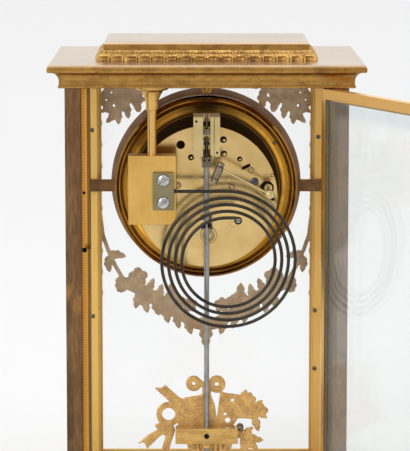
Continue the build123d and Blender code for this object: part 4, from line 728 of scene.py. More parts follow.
def cut(piece, cutters):
    """Cuts closed shapes out of a piece."""
    for cutter in cutters:
        apply_modifier(piece, "BOOLEAN", operation="DIFFERENCE", solver="EXACT", object=cutter)
        drop_pattern(cutter)


print("modelling helpers ready")

# %% [markdown]
# ## The gong
#
# The gong is one steel wire, held in the block at its straight end and wound inwards for four
# turns. A wire is a line with a thickness, so it starts as a Bezier curve. Each half turn has its
# own radius, a little smaller than the last, and a quarter circle is drawn well by one curve whose
# handles are 0.5523 of the radius long. The round section comes from the curve's bevel, and the
# curve is then made a mesh.

# %% Gong wire
GONG_Y = 54.45
GONG_CENTRE_X = -12.0
GONG_TOP = 217.0
GONG_FIRST_RADIUS = 41.0
GONG_RADIUS_STEP = 2.0
GONG_HALF_TURNS = 8
GONG_WIRE_RADIUS = 1.0
GONG_START_X = 30.8
GONG_START_HANDLE = 12
GONG_END_RUN = 5.6
GONG_END_HANDLES = (1.9, 0.8)
QUARTER_HANDLE = 0.5523


def gong_knots():
    """Knots of the wire: place, direction and handle length before and after."""
    before = GONG_START_HANDLE
    knots = [((GONG_START_X, GONG_TOP), (-1, 0), before, before)]
    height = GONG_TOP
    for half_turn in range(GONG_HALF_TURNS):
        radius = GONG_FIRST_RADIUS - half_turn * GONG_RADIUS_STEP
        side = -1 if half_turn % 2 == 0 else 1
        handle = radius * QUARTER_HANDLE
        knots.append(((GONG_CENTRE_X, height), (side, 0), before, handle))
        widest = (GONG_CENTRE_X + side * radius, height + side * radius)
        knots.append((widest, (0, side), handle, handle))
        height += 2 * side * radius
        before = handle
    end_handle, tip_handle = GONG_END_HANDLES
    knots.append(((GONG_CENTRE_X, height), (-1, 0), before, end_handle))
    knots.append(((GONG_CENTRE_X - GONG_END_RUN, height), (-1, 0), end_handle, tip_handle))
    return knots


def wire_piece(name, knots, radius):
    """Round wire through knots in a plane of constant Y."""
    wire = add_new(bpy.ops.curve.primitive_bezier_curve_add)
    wire.name = name
    spline = wire.data.splines[0]
    spline.bezier_points.add(len(knots) - len(spline.bezier_points))
    for point, ((x, z), (along_x, along_z), before, after) in zip(spline.bezier_points, knots):
        point.handle_left_type = point.handle_right_type = "FREE"
        point.co = Vector((x, GONG_Y, z)) * MM
        point.handle_left = Vector((x - along_x * before, GONG_Y, z - along_z * before)) * MM
        point.handle_right = Vector((x + along_x * after, GONG_Y, z + along_z * after)) * MM
    wire.data.resolution_u = 16
    wire.data.bevel_depth = radius * MM
    wire.data.bevel_resolution = 4
    wire.data.use_fill_caps = True
    make_active(wire)
    bpy.ops.object.convert(target="MESH")
    return bpy.context.object


gong = wire_piece("gong_wire", gong_knots(), GONG_WIRE_RADIUS)
hand_over(gong, "case", dark_steel, stands_for=["gong_coil"], smooth_deg=50)

# %% [markdown]
# ## Patterns for cast leaves and flowers
#
# The garland and the bob's ornament were cast in brass and gilded. Their leaves are alike, so one
# leaf and one flower are modelled with care and copied. The leaf is a grid whose rows are pulled
# into a lobed outline, with a groove down the middle and veins to the lobes. The flower is a disc
# with petals that rise and dip. Both have a flat back, as a casting made in an open mould has.

# %% Leaf and flower patterns
def close_back(piece):
    """Extrudes the open edge of a relief to a flat back at Y 0 and fills it."""
    make_active(piece)
    enter_edit()
    bpy.ops.mesh.region_to_loop()
    bpy.ops.mesh.extrude_edges_move()
    work = bmesh.from_edit_mesh(piece.data)
    for vertex in work.verts:
        if vertex.select:
            vertex.co.y = 0.0
    bmesh.update_edit_mesh(piece.data)
    bpy.ops.mesh.edge_face_add()
    leave_edit()


def leaf_half_width(along, lobes=3):
    """Half width of a lobed leaf at a share of its length."""
    plain = 0.27 * sin(pi * along ** 0.8) ** 0.75 if 0 < along < 1 else 0
    notch = abs(sin(pi * lobes * along ** 0.9)) ** 0.7
    return plain * (0.6 + 0.4 * notch)


def leaf_height(along, across):
    """Relief of a leaf, from 0 at the back to 1 at the top."""
    crown = 0.45 + 0.5 * (1 - across ** 2) * (0.5 + 0.5 * sin(pi * min(1, along * 1.1)))
    midrib = 0.22 * max(0, 1 - abs(across) / 0.16)
    veins = 0.07 * cos(2 * pi * (4 * along - 1.2 * abs(across))) * min(1, 3 * abs(across))
    return crown - midrib + veins


def leaf_pattern():
    """Leaf along +X, one long and one thick, with its back at Y 0 and its relief towards -Y."""
    leaf = add_new(bpy.ops.mesh.primitive_grid_add, x_subdivisions=22, y_subdivisions=10, size=2)
    for vertex in leaf.data.vertices:
        along = vertex.co.x / 2 + 0.5
        across = vertex.co.y
        clear = min(max(along, 0.015), 0.985)
        vertex.co = (along, -leaf_height(clear, across), across * leaf_half_width(clear))
    close_back(leaf)
    return leaf


def flower_pattern(petals=5, rings=9, spokes=48):
    """Flower of radius one, with its back at Y 0 and its relief towards -Y."""
    flower = add_new(bpy.ops.mesh.primitive_circle_add, vertices=spokes, radius=1,
                     fill_type="TRIFAN", rotation=(pi / 2, 0, 0))
    bpy.ops.object.transform_apply(rotation=True)
    enter_edit()
    bpy.ops.mesh.subdivide(number_cuts=rings - 1)
    leave_edit(outward=False)
    for vertex in flower.data.vertices:
        reach = hypot(vertex.co.x, vertex.co.z)
        angle = atan2(vertex.co.z, vertex.co.x)
        lobe = abs(cos(petals * angle / 2)) ** 0.6
        outline = 0.66 + 0.34 * lobe
        heart = max(0, 1 - (reach / 0.3) ** 2)
        petal = 0.45 + 0.4 * lobe * sin(pi * min(1, 0.25 + 0.75 * reach)) - 0.12 * (1 - lobe)
        height = max(petal, 0.55 + 0.42 * heart if heart > 0 else 0)
        ring_groove = 0.14 * max(0, 1 - abs(reach - 0.36) / 0.08)
        vertex.co = (vertex.co.x * outline, -(height - ring_groove), vertex.co.z * outline)
    close_back(flower)
    return flower


leaf_model = leaf_pattern()
flower_model = flower_pattern()
print("leaf", len(leaf_model.data.polygons), "flower", len(flower_model.data.polygons), "faces")

# %% [markdown]
# ## Gilding on a casting
#
# Fire-gilt brass is matt and slightly pitted from the sand. Random specks are painted brighter as
# glints, and the hollows are painted brown as shade, with some grime. An Ambient Occlusion node
# that looks only at its own piece finds the hollows.

# %% Gilt casting finish
def gilt_casting(name, bright, brown, wear, hollow_mm):
    """Matt gilding with grime and painted shade in its hollows, and painted glints in random
    specks.
    """
    finish = Finish(name, metallic=1.0)
    clouds = finish.noise(6, 5)
    grains = finish.noise(1.1, 4)
    dirt_and_corner_shade = finish.grey_ramp(clouds * 0.5 + grains * 0.5, 0.4, 0.64 + wear)
    tone = finish.mix(dirt_and_corner_shade, bright, brown)
    # painted glints: random specks of brighter gold
    painted_glints = finish.grey_ramp(finish.noise(1.7, 2), 0.62, 0.74)
    glinting_tone = finish.mix(painted_glints * 0.5, tone, [min(1, c * 1.35) for c in bright])
    # painted shade, with some grime: hollows darkened from an ambient occlusion mask
    hollow_shade = finish.grey_ramp(finish.hollows(hollow_mm), 0.1, 0.7)
    finish.feed(base_color=finish.mix(hollow_shade, glinting_tone, darker(brown, 0.22)))
    finish.feed(roughness=0.32 + dirt_and_corner_shade * 0.2 + grains * 0.1)
    finish.bump(grains * 0.6 + clouds * 0.4, 0.35, 0.35)
    return finish.material


gilt_trophy = gilt_casting("gilt_trophy", (0.7, 0.43, 0.155), (0.36, 0.2, 0.072), 0.05, 1.5)
# painted shade and reflection haze: the garland's gilt is greyer and darker, as it looks in shade
# behind the front glass
shaded_garland_gilt = gilt_casting("shaded_garland_gilt", (0.56, 0.39, 0.21), (0.34, 0.22, 0.125), 0.02, 2.0)
gilt_band = gilt_casting("gilt_band", (0.74, 0.46, 0.15), (0.25, 0.135, 0.05), 0.02, 2.2)
print("gilt finishes made")

# %% [markdown]
# ## Straps, leaves and flowers in place
#
# A strap is a run of straight bars with round ends, inset on the side that shows. Leaves and
# flowers are stamped from the patterns. All of them overlap, so the joined mesh is remeshed into
# one skin and smoothed a little. That gives the soft corners of metal that ran together in a mould.

# %% Casting helpers
def in_plane(x, z, back, angle_deg, reach, thickness):
    """Moves a pattern to a place in a plane of constant Y, turned from +X towards +Z."""
    place = Matrix.Translation(Vector((x, back, z)) * MM)
    turn = Matrix.Rotation(-radians(angle_deg), 4, "Y")
    size = Matrix.Diagonal((reach * MM, thickness * MM, reach * MM, 1))
    return place @ turn @ size


def strap_run(start, end, width, back, thickness):
    """Straight strap with rounded ends and eased front edges."""
    run = add_new(bpy.ops.mesh.primitive_circle_add, vertices=24, radius=width / 2,
                  fill_type="NGON", rotation=(pi / 2, 0, 0))
    bpy.ops.object.transform_apply(rotation=True)
    angle = atan2(end[1] - start[1], end[0] - start[0])
    length = hypot(end[0] - start[0], end[1] - start[1])
    for vertex in run.data.vertices:
        vertex.co.x += length if vertex.co.x > 0 else 0
    enter_edit()
    bpy.ops.mesh.extrude_region_move(TRANSFORM_OT_translate={"value": (0, -0.72 * thickness, 0)})
    bpy.ops.mesh.inset(thickness=width * 0.24, depth=0.28 * thickness)
    leave_edit()
    turn = Matrix.Rotation(-angle, 4, "Y")
    run.data.transform(Matrix.Scale(MM, 4) @ Matrix.Translation((start[0], back, start[1])) @ turn)
    return run


def strap(points, width, back, thickness):
    return [strap_run(a, b, width, back, thickness) for a, b in zip(points, points[1:])]


def cast_together(pieces, name, cell_mm, passes):
    """One skin over overlapping pieces, as metal that ran together."""
    casting = join(pieces, name)
    apply_modifier(casting, "REMESH", mode="VOXEL", voxel_size=cell_mm * MM)
    apply_modifier(casting, "SMOOTH", factor=0.5, iterations=passes)
    return casting


print("casting helpers ready")

# %% [markdown]
# ## The garland on the front door
#
# A swag of leaves and flowers hangs between two drops, with a spray of leaves in each top corner.
# It sits on the outside of the front door, so from the back it is a soft shape behind the glass,
# and from the front it is the clock's main ornament. Places are given in hundredths of the half
# width across and of the depth down.

# %% Garland
GARLAND_BACK = -66.0
GARLAND_THICK = 2.9
GARLAND_EDGE = 68.5
GARLAND_UNIT = 0.698
SWAG_TOP = 187.0
SWAG_DEPTH = 76.0
DROP_TOP = 262.0
DROP_BOTTOM = 124.0
DROP_WIDTH = 2.5
DROP_LEAVES = 10
DROP_LEAF_STEP = 13.8
DROP_LEAF = (250, 5.0, 0.8)
STEM_WIDTH = 2.6
BODY_WIDTH = 7.6
CORNER_WIDTH = 5.0
TWIG_WIDTH = 4.8
TWIG_PAIRS = ((0.08, 62), (0.34, 52), (0.58, 42))
SWAG_STEM = ((99.5, 0), (97, 19), (92, 32), (85, 46), (76, 60))
SWAG_BODY = ((76, 60), (61, 66), (43, 75), (29, 85), (9, 95), (0, 97))
SWAG_LEAVES = (
    (91, 34, 193, 16), (93, 37, 262, 15.5), (83, 55, 257, 15.5), (55, 68, 114, 14.5),
    (45, 74, 104, 15), (32, 80, 87, 22), (63.5, 68, 281, 16), (59, 70, 258, 18),
    (49.5, 74, 252, 16.5), (39.5, 78, 258, 19), (29, 85.5, 256, 16), (19, 91, 250, 16),
)
SWAG_MIDDLE = (0, 94)
MIDDLE_FLOWER = 5.6
PENDANT_LEAF = 17
GARLAND_CELL = 0.42
SWAG_FLOWERS = ((64, 55, 9.3), (80, 63, 6), (15, 79, 7.3), (26, 76, 7))
CORNER_STEM = ((96.5, 0), (90, 9), (76, 11), (55, 7))
CORNER_SPRAYS = ((65, 5, 314, 40), (79, 9, 307, 30))
CORNER_LEAVES = ((63, 7, 274, 21), (54, 8, 265, 20), (50, 9, 160, 14))


def swag_place(across, down):
    return (GARLAND_EDGE * across / 100, SWAG_TOP - SWAG_DEPTH * down / 100)


def corner_place(across, up):
    return (GARLAND_EDGE * across / 100, DROP_TOP + GARLAND_UNIT * up)


def garland_strap(points, width, share=0.8):
    return strap(points, width, GARLAND_BACK, GARLAND_THICK * share)


def garland_leaf(x, z, angle, length, share=1.0):
    return stamp(leaf_model, in_plane(x, z, GARLAND_BACK, angle, length, GARLAND_THICK * share))


def garland_spray(x, z, angle, length):
    """Twig with three pairs of leaves and one at its tip."""
    way = Vector((cos(radians(angle)), sin(radians(angle))))
    tip = Vector((x, z)) + way * length * 0.7
    pieces = garland_strap([(x, z), tuple(tip)], TWIG_WIDTH)
    pieces.append(garland_leaf(tip.x - way.x, tip.y - way.y, angle, length * 0.34))
    for share, spread in TWIG_PAIRS:
        spot = Vector((x, z)) + way * length * share
        reach = length * (0.46 - 0.2 * share)
        for side in (-1, 1):
            pieces.append(garland_leaf(spot.x, spot.y, angle + side * spread, reach, 0.95))
    return pieces


def garland_flower(x, z, radius):
    return stamp(flower_model, in_plane(x, z, GARLAND_BACK, 15, radius, GARLAND_THICK))


def garland_half():
    """Pieces of the +X half."""
    pieces = garland_strap([swag_place(*p) for p in SWAG_STEM], STEM_WIDTH)
    pieces += garland_strap([swag_place(*p) for p in SWAG_BODY], BODY_WIDTH, 0.72)
    pieces += garland_strap([corner_place(*p) for p in CORNER_STEM], CORNER_WIDTH)
    pieces += garland_strap([(GARLAND_EDGE, DROP_TOP), (GARLAND_EDGE, DROP_BOTTOM)], DROP_WIDTH)
    for across, down, angle, length in SWAG_LEAVES:
        pieces.append(garland_leaf(*swag_place(across, down), angle, GARLAND_UNIT * length))
    for across, up, angle, length in CORNER_SPRAYS:
        pieces += garland_spray(*corner_place(across, up), angle, GARLAND_UNIT * length)
    for across, up, angle, length in CORNER_LEAVES:
        pieces.append(garland_leaf(*corner_place(across, up), angle, GARLAND_UNIT * length))
    for across, down, radius in SWAG_FLOWERS:
        pieces.append(garland_flower(*swag_place(across, down), GARLAND_UNIT * radius))
    for step in range(DROP_LEAVES):
        pieces.append(garland_leaf(GARLAND_EDGE, DROP_TOP - DROP_LEAF_STEP * step, *DROP_LEAF))
    return pieces


half = join(garland_half(), "front_garland_relief")
apply_modifier(half, "MIRROR", use_axis=(True, False, False), use_clip=False,
               use_mirror_merge=False)
middle_flower = garland_flower(*swag_place(*SWAG_MIDDLE), MIDDLE_FLOWER)
pendant_leaf = garland_leaf(*swag_place(*SWAG_MIDDLE), -90, PENDANT_LEAF)
castings = [half, middle_flower, pendant_leaf]
garland = cast_together(castings, "front_garland_relief", GARLAND_CELL, passes=2)
hand_over(garland, "front_door", shaded_garland_gilt, stands_for=["front_garland"], smooth_deg=60)

# %% [markdown]
# ## The bob's ornament
#
# The ornament is screwed to the bob's cross-bar and its show side faces the dial, so from the back
# we see the plain rear of the casting: flat, sandy and tied with a ribbon bow. It isn't
# symmetrical. The sheaf is cut as a flat outline and extruded; loops, tails, leaves and flowers are
# laid on it, and holes are cut last with a boolean.

# %% Bob ornament
TROPHY_BACK = 35.0
TROPHY_THICK = 2.9
TROPHY_UNIT = 0.415
TROPHY_MIDDLE = 71.0
TROPHY_CELL = 0.3
SHEAF_FRONT = TROPHY_BACK - 0.62 * TROPHY_THICK
DISC_FRONT = TROPHY_BACK - 0.8 * TROPHY_THICK
TROPHY_THROUGH = (TROPHY_BACK - 5, TROPHY_BACK + 2)
TROPHY_GROOVE = (TROPHY_BACK - 0.7, TROPHY_BACK + 1)
TROPHY_DISCS = ((19, 60, 11.4), (-15, 59, 12.8), (56, 14, 18))
TROPHY_STRAPS = (
    (8, (16, 67), (3, 56)),
    (13, (0, 56), (0, -40)),
    (12, (58, 45), (46, 35), (30, 28)),
    (9, (58, -4), (67, -11), (86, -23)),
    (11, (52, -10), (60, -36)),
)
TROPHY_OUTLINES = (
    ((46, 31), (31, 39), (12, 42), (0, 47), (-6, 44), (-15, 21), (-15, -12), (41, -12), (44, 10)),
    ((-19, 50), (-27, 46), (-48, 43), (-67, 36), (-80, 24), (-72, 7), (-46, 8), (-34, -12),
     (-15, -12), (-15, 21)),
    ((77, 54), (67, 53), (61, 58), (40, 39), (32, 28), (46, 25), (58, 36)),
    ((102, -31), (92, -28), (88, -38), (70, -20), (58, -12), (60, -1), (72, -9), (86, -17)),
    ((-44, -12), (-36, -38), (-22, -51), (0, -57), (17, -50), (27, -38), (31, -26), (41, -12)),
)
TROPHY_LEAVES = (
    (48, -6, 6, 29), (50, -8, -16, 26), (-50, 38, 127, 16), (-70, 12, 254, 25), (-75, 17, 211, 17),
    (-72, 28, 150, 13), (-60, -23, 185, 24), (-58, -26, 214, 22), (-52, -26, 250, 24),
    (-54, -14, 152, 17),
)
TROPHY_FLOWERS = ((-79.5, 19, 11.5), (-62, 36, 11), (-60, -22, 13), (-47, -14, 9))
TROPHY_HOLES = (
    (19, 60, 2.8), (-15, 59, 3.2), (56, 14, 9.6), (-38, 35, 2.6), (-27, 14, 2.4), (-31, 5, 4),
)
TROPHY_WEDGE = ((-10, 46), (-20, 46), (-15, 8))
TROPHY_FLUTES = ((-29, -40), (-20, -47), (-11, -51), (11, -47), (20, -40))


def trophy_place(across, up):
    return (TROPHY_UNIT * across, TROPHY_MIDDLE + TROPHY_UNIT * up)


def flat_plate(places, front, back):
    """Plate with a drawn outline: a circle's corners are moved to the outline, then extruded."""
    plate = add_new(bpy.ops.mesh.primitive_circle_add, vertices=len(places), fill_type="NGON")
    for vertex, (x, z) in zip(plate.data.vertices, places):
        vertex.co = Vector((x, front, z)) * MM
    enter_edit()
    bpy.ops.mesh.extrude_region_move(TRANSFORM_OT_translate={"value": (0, (back - front) * MM, 0)})
    leave_edit()
    return plate


def round_places(across, up, radius, sides=32):
    x, z = trophy_place(across, up)
    angles = [2 * pi * step / sides for step in range(sides)]
    return [(x + TROPHY_UNIT * radius * cos(a), z + TROPHY_UNIT * radius * sin(a)) for a in angles]


def on_trophy(pattern, across, up, angle, size):
    """A leaf or a flower laid on the ornament."""
    x, z = trophy_place(across, up)
    return stamp(pattern, in_plane(x, z, TROPHY_BACK, angle, TROPHY_UNIT * size, TROPHY_THICK))


def trophy_blank():
    """Sheaf, loops, straps, leaves and flowers before the holes are cut."""
    pieces = []
    for outline in TROPHY_OUTLINES:
        places = [trophy_place(*place) for place in outline]
        pieces.append(flat_plate(places, SHEAF_FRONT, TROPHY_BACK))
    for disc in TROPHY_DISCS:
        pieces.append(flat_plate(round_places(*disc), DISC_FRONT, TROPHY_BACK))
    for width, *places in TROPHY_STRAPS:
        run = [trophy_place(*place) for place in places]
        pieces += strap(run, TROPHY_UNIT * width, TROPHY_BACK, TROPHY_THICK * 0.9)
    pieces += [on_trophy(leaf_model, *leaf) for leaf in TROPHY_LEAVES]
    pieces += [on_trophy(flower_model, x, up, 30, radius) for x, up, radius in TROPHY_FLOWERS]
    return pieces


def groove(x, low):
    """Cutter for one flute of the sheaf, narrower at its lower end."""
    corners = ((x - 1.6, -8), (x + 1.6, -8), (x * 0.8 + 1.2, low), (x * 0.8 - 1.2, low))
    return flat_plate([trophy_place(*corner) for corner in corners], *TROPHY_GROOVE)


trophy = join(trophy_blank(), "bob_ornament")
apply_modifier(trophy, "REMESH", mode="VOXEL", voxel_size=TROPHY_CELL * MM)
cutters = [flat_plate(round_places(*hole), *TROPHY_THROUGH) for hole in TROPHY_HOLES]
cutters.append(flat_plate([trophy_place(*place) for place in TROPHY_WEDGE], *TROPHY_THROUGH))
cutters.append(join([groove(*flute) for flute in TROPHY_FLUTES], "grooves"))
cut(trophy, cutters)
apply_modifier(trophy, "SMOOTH", factor=0.5, iterations=3)
hand_over(trophy, "pendulum", gilt_trophy, stands_for=["bob_trophy"], smooth_deg=50)

# %% [markdown]
# ## The leaf band under the cap
#
# Between the cornice and the cap runs a cast band of upright leaves. On each side of the block it
# is a strip whose section goes up a short foot and back over a hollow slope. The strip is a fine
# grid: one coordinate goes along the side and the other up the section, and each leaf adds a hollow
# panel, two ribs and a curled tip. Strips meet in a mitre because a row that lies further in is
# shorter by the same amount.

# %% Leaf band
BAND_HALF_X = 66.7
BAND_HALF_Y = 45.0
BAND_BOTTOM = 294.0
BAND_SECTION = (
    (-0.6, 0.0), (-0.9, 0.5), (-0.9, 1.6), (-0.95, 2.6), (-1.4, 3.3), (-2.4, 3.9), (-3.5, 4.6),
    (-4.5, 5.4), (-5.2, 6.4),
)
BAND_ROWS = 36
LEAF_COLUMNS = 22
LEAVES_LONG_SIDE = 16
LEAVES_SHORT_SIDE = 11
MERGE_REACH = 0.02


def section_place(share):
    """Depth and height on the band's section at a share of its way up."""
    spot = share * (len(BAND_SECTION) - 1)
    index = min(int(spot), len(BAND_SECTION) - 2)
    mix = spot - index
    first, second = BAND_SECTION[index], BAND_SECTION[index + 1]
    return tuple(a + (b - a) * mix for a, b in zip(first, second))


def peak(value, middle, half):
    """1 at the middle, falling straight to 0 at half a width away."""
    return max(0, 1 - abs(value - middle) / half)


def leaf_swell(share, phase):
    """How far the surface stands out; phase runs from -1 to 1 across one leaf."""
    side = abs(phase)
    arch = min(1, max(0, (0.42 - share) / 0.12)) * min(1, share / 0.06)
    lower = arch * (0.75 * peak(side, 0.82, 0.17) - 1.3 * max(0, 1 - (side / 0.66) ** 4))
    curl = peak(share, 0.46, 0.1) * (1.0 * peak(side, 0.8, 0.3) + 0.5 * peak(side, 0, 0.45))
    lobes = 0.55 * cos(4 * pi * phase) + 0.5 * peak(side, 0, 0.25) - 0.35 * cos(8 * pi * share)
    return lower + curl + peak(share, 0.74, 0.24) * lobes


def band_side(half_along, half_out, leaves, turn_deg):
    """One side's strip, made facing +Y and turned to its side."""
    strip = add_new(bpy.ops.mesh.primitive_grid_add, x_subdivisions=leaves * LEAF_COLUMNS,
                    y_subdivisions=BAND_ROWS, size=2)
    for vertex in strip.data.vertices:
        along, share = vertex.co.x, vertex.co.y / 2 + 0.5
        depth, height = section_place(share)
        phase = 2 * ((along / 2 + 0.5) * leaves % 1) - 1
        edge = min(1, (1 - abs(along)) * leaves * 2)
        depth = min(0, depth + leaf_swell(share, phase) * edge)
        place = (along * (half_along + depth), half_out + depth, BAND_BOTTOM + height)
        vertex.co = Vector(place) * MM
    strip.data.transform(Matrix.Rotation(radians(turn_deg), 4, "Z"))
    return strip


band_sides = [band_side(BAND_HALF_X, BAND_HALF_Y, LEAVES_LONG_SIDE, turn) for turn in (0, 180)]
band_sides += [band_side(BAND_HALF_Y, BAND_HALF_X, LEAVES_SHORT_SIDE, turn) for turn in (90, 270)]
leaf_band = join(band_sides, "leaf_band")
enter_edit()
bpy.ops.mesh.remove_doubles(threshold=MERGE_REACH * MM)
bpy.ops.mesh.region_to_loop()
bpy.ops.mesh.fill_holes(sides=0)
leave_edit()
hand_over(leaf_band, "case", gilt_band, stands_for=["leaf_plinth"], smooth_deg=60)
drop_pattern(leaf_model)
drop_pattern(flower_model)

# %% [markdown]
# ## Turned pieces and screws
#
# Screws, bushes, pivots and posts come off a lathe, so they are all described by a profile: a list
# of radii and heights. A filled circle is extruded and resized from step to step, which is how a
# turned form is modelled by hand. A screw's slot is cut with a boolean. A pattern has a radius of
# one millimetre and is scaled as it is set in place.

# %% Turned patterns
SCREW_PROFILE = ((1, 0), (1, 0.3), (0.93, 0.42), (0.8, 0.48))
DOME_PROFILE = (
    (1, 0), (1, 0.1), (0.96, 0.24), (0.86, 0.37), (0.7, 0.47), (0.48, 0.54), (0.24, 0.58),
    (0.08, 0.59),
)
BUSH_PROFILE = ((1, 0), (1, 0.16), (0.92, 0.24), (0.74, 0.24), (0.66, 0.16), (0.64, 0.09))
PIVOT_PROFILE = ((1, 0), (1, 0.5), (0.88, 0.72), (0.6, 0.88), (0.2, 0.95))
HOLE_PROFILE = ((1, 0), (1, 0.05), (0.94, 0.06))
SLOT_LENGTH = 3
SLOT_DEPTH = 0.7


def turned(profile, sides=36):
    """Solid of revolution about Z, in millimetres."""
    radius, height = profile[0]
    piece = add_new(bpy.ops.mesh.primitive_circle_add, vertices=sides, radius=radius * MM,
                    fill_type="NGON")
    piece.data.transform(Matrix.Translation((0, 0, height * MM)))
    enter_edit()
    for next_radius, next_height in profile[1:]:
        rise = (next_height - height) * MM
        bpy.ops.mesh.extrude_region_move(TRANSFORM_OT_translate={"value": (0, 0, rise)})
        ratio = next_radius / radius
        bpy.ops.transform.resize(value=(ratio, ratio, 1), center_override=(0, 0, next_height * MM))
        radius, height = next_radius, next_height
    leave_edit()
    return piece


def slotted(profile, width):
    """Turned screw head with a slot across its top."""
    screw = turned(profile)
    bar = add_new(bpy.ops.mesh.primitive_cube_add, size=1)
    top = Matrix.Translation((0, 0, profile[-1][1] * MM))
    bar.data.transform(top @ Matrix.Diagonal((SLOT_LENGTH * MM, width * MM, SLOT_DEPTH * MM, 1)))
    cut(screw, [bar])
    return screw


def set_on(x, y, z, radius, turn_deg=0, height=None, rear=True):
    """Moves a turned pattern to a place with its axis towards the rear or the front."""
    tilt = Matrix.Rotation(radians(-90 if rear else 90), 4, "X")
    turn = Matrix.Rotation(radians(turn_deg), 4, "Z")
    size = Matrix.Diagonal((radius, radius, height or radius, 1))
    return Matrix.Translation(Vector((x, y, z)) * MM) @ tilt @ turn @ size


def fit_out(name, pattern, places, body, material, stands_for=()):
    """Copies of one pattern at several places, joined into one piece."""
    copies = [stamp(pattern, set_on(*place)) for place in places]
    return hand_over(join(copies, name), body, material, stands_for, smooth_deg=35)


screw_model = slotted(SCREW_PROFILE, 0.26)
dome_model = slotted(DOME_PROFILE, 0.3)
bush_model = turned(BUSH_PROFILE)
pivot_model = turned(PIVOT_PROFILE)
hole_model = turned(HOLE_PROFILE)
print("turned patterns ready")

# %% [markdown]
# ## Screws of the case and the gong
#
# Small dark screws hold the glazing strips on the front pillars, and two larger nickelled ones with
# round heads clamp the gong. Nothing may stand proud on the rear pillars, because the door shuts on
# them, so there the heads are flush.

# %% Case and gong screws
FRONT_STRIP_FACE = -51.4
REBATE_FACE = 60.2
CLAMP_FACE = 56.2
RIM_FACE = -27.2
STRIP_SCREWS = ((72.7, 242.4), (72.7, 122.3), (-71.5, 238), (-69.9, 126), (-69.9, 88))
STRIP_SCREW_RADIUS = 1.45
STRIP_SCREW_TURN = 40
REBATE_SCREWS = ((73.0, 216.9, 0.9), (72.9, 182.5, 1.5), (-72.9, 216.9, 0.9))
CLAMP_SCREWS = ((25.9, 210.3, 32), (25.9, 223.7, 27))
CLAMP_HEAD_RADIUS = 3.85
CLAMP_HEAD_HEIGHT = 3.3
RIM_PEGS = ((47.4, 231.3), (-42.8, 237.0))
RIM_PEG_RADIUS = 1.3

strip_places = [(x, FRONT_STRIP_FACE, z, STRIP_SCREW_RADIUS, STRIP_SCREW_TURN * i)
                for i, (x, z) in enumerate(STRIP_SCREWS)]
rebate_places = [(x, REBATE_FACE, z, radius) for x, z, radius in REBATE_SCREWS]
clamp_places = [(x, CLAMP_FACE, z, CLAMP_HEAD_RADIUS, turn, CLAMP_HEAD_HEIGHT)
                for x, z, turn in CLAMP_SCREWS]
rim_places = [(x, RIM_FACE, z, RIM_PEG_RADIUS) for x, z in RIM_PEGS]
fit_out("strip_screws", screw_model, strip_places, "case", chop_steel)
# the flush heads are flat black discs of painted shade
fit_out("rebate_screws", hole_model, rebate_places, "case", hole_shade_black)
fit_out("clamp_screws", dome_model, clamp_places, "case", nickel, ["gong_screws"])
fit_out("rim_pegs", pivot_model, rim_places, "case", chop_steel)

# %% [markdown]
# ## Fittings on the back plate
#
# The back plate is where the trains end: each pivot runs in a bush, each bush sits in a small sink
# for oil, and pins and screws hold the bridges. The sinks are flat black discs of painted shade.
# The places are given from the movement's axis, as on a watchmaker's drawing.

# %% Back plate fittings
PLATE_FACE = 20.0
PLATE_SINKS = (
    (-10.3, 34.9, 2.1), (9.4, 24.1, 1.9), (-10.7, 26.3, 1.9), (-20.2, 23.0, 1.6),
    (-40.3, -1.6, 1.1), (-1.3, -23.6, 5.15), (-19.4, -14.9, 2.4), (17.6, 7.0, 2.2),
    (-15.4, 6.0, 1.7), (-27.2, 16.2, 1.9), (-29.4, 9.2, 2.4), (-40.2, 13.0, 1.2), (-36.9, 5.4, 4.2),
)
PLATE_BUSHES = ((-1.3, -23.6, 5.0), (17.6, 7.0, 1.8), (-15.4, 6.0, 1.35), (-27.2, 16.2, 1.6))
PLATE_PINS = (
    (-1.3, -23.6, 2.6), (17.6, 7.0, 1.0), (-15.4, 6.0, 0.8), (-27.2, 16.2, 0.9), (-40.2, 13.0, 0.9),
    (-10.6, 34.6, 1.1), (-10.9, 26.0, 1.3), (-20.4, 22.8, 0.8), (9.2, 23.9, 0.9),
)
PLATE_SCREW = ((-29.4, 9.2, 2.1),)
PLATE_SCREW_TURN = 50
PLATE_STOP = ((-19.4, -14.9, 1.7),)


def on_plate(places, *more):
    return [(x, PLATE_FACE, AXIS_HEIGHT + rise, radius, *more) for x, rise, radius in places]


fit_out("plate_bushes", bush_model, on_plate(PLATE_BUSHES), "case", pale_brass)
fit_out("plate_sinks", hole_model, on_plate(PLATE_SINKS), "case", hole_shade_black)
fit_out("plate_pins", pivot_model, on_plate(PLATE_PINS), "case", pale_brass)
fit_out("plate_screw", screw_model, on_plate(PLATE_SCREW, PLATE_SCREW_TURN),
        "case", blued_screw)
fit_out("plate_stop", dome_model, on_plate(PLATE_STOP), "case", nickel)

# %% [markdown]
# ## The gong's post, and the hammer
#
# A trumpet-shaped foot with a collar spreads the post's pull under the cornice. The hammer's head
# is a grooved steel barrel, and its arm is held by a brass collar. The barrel is turned about Z
# like the rest and then laid along its line.

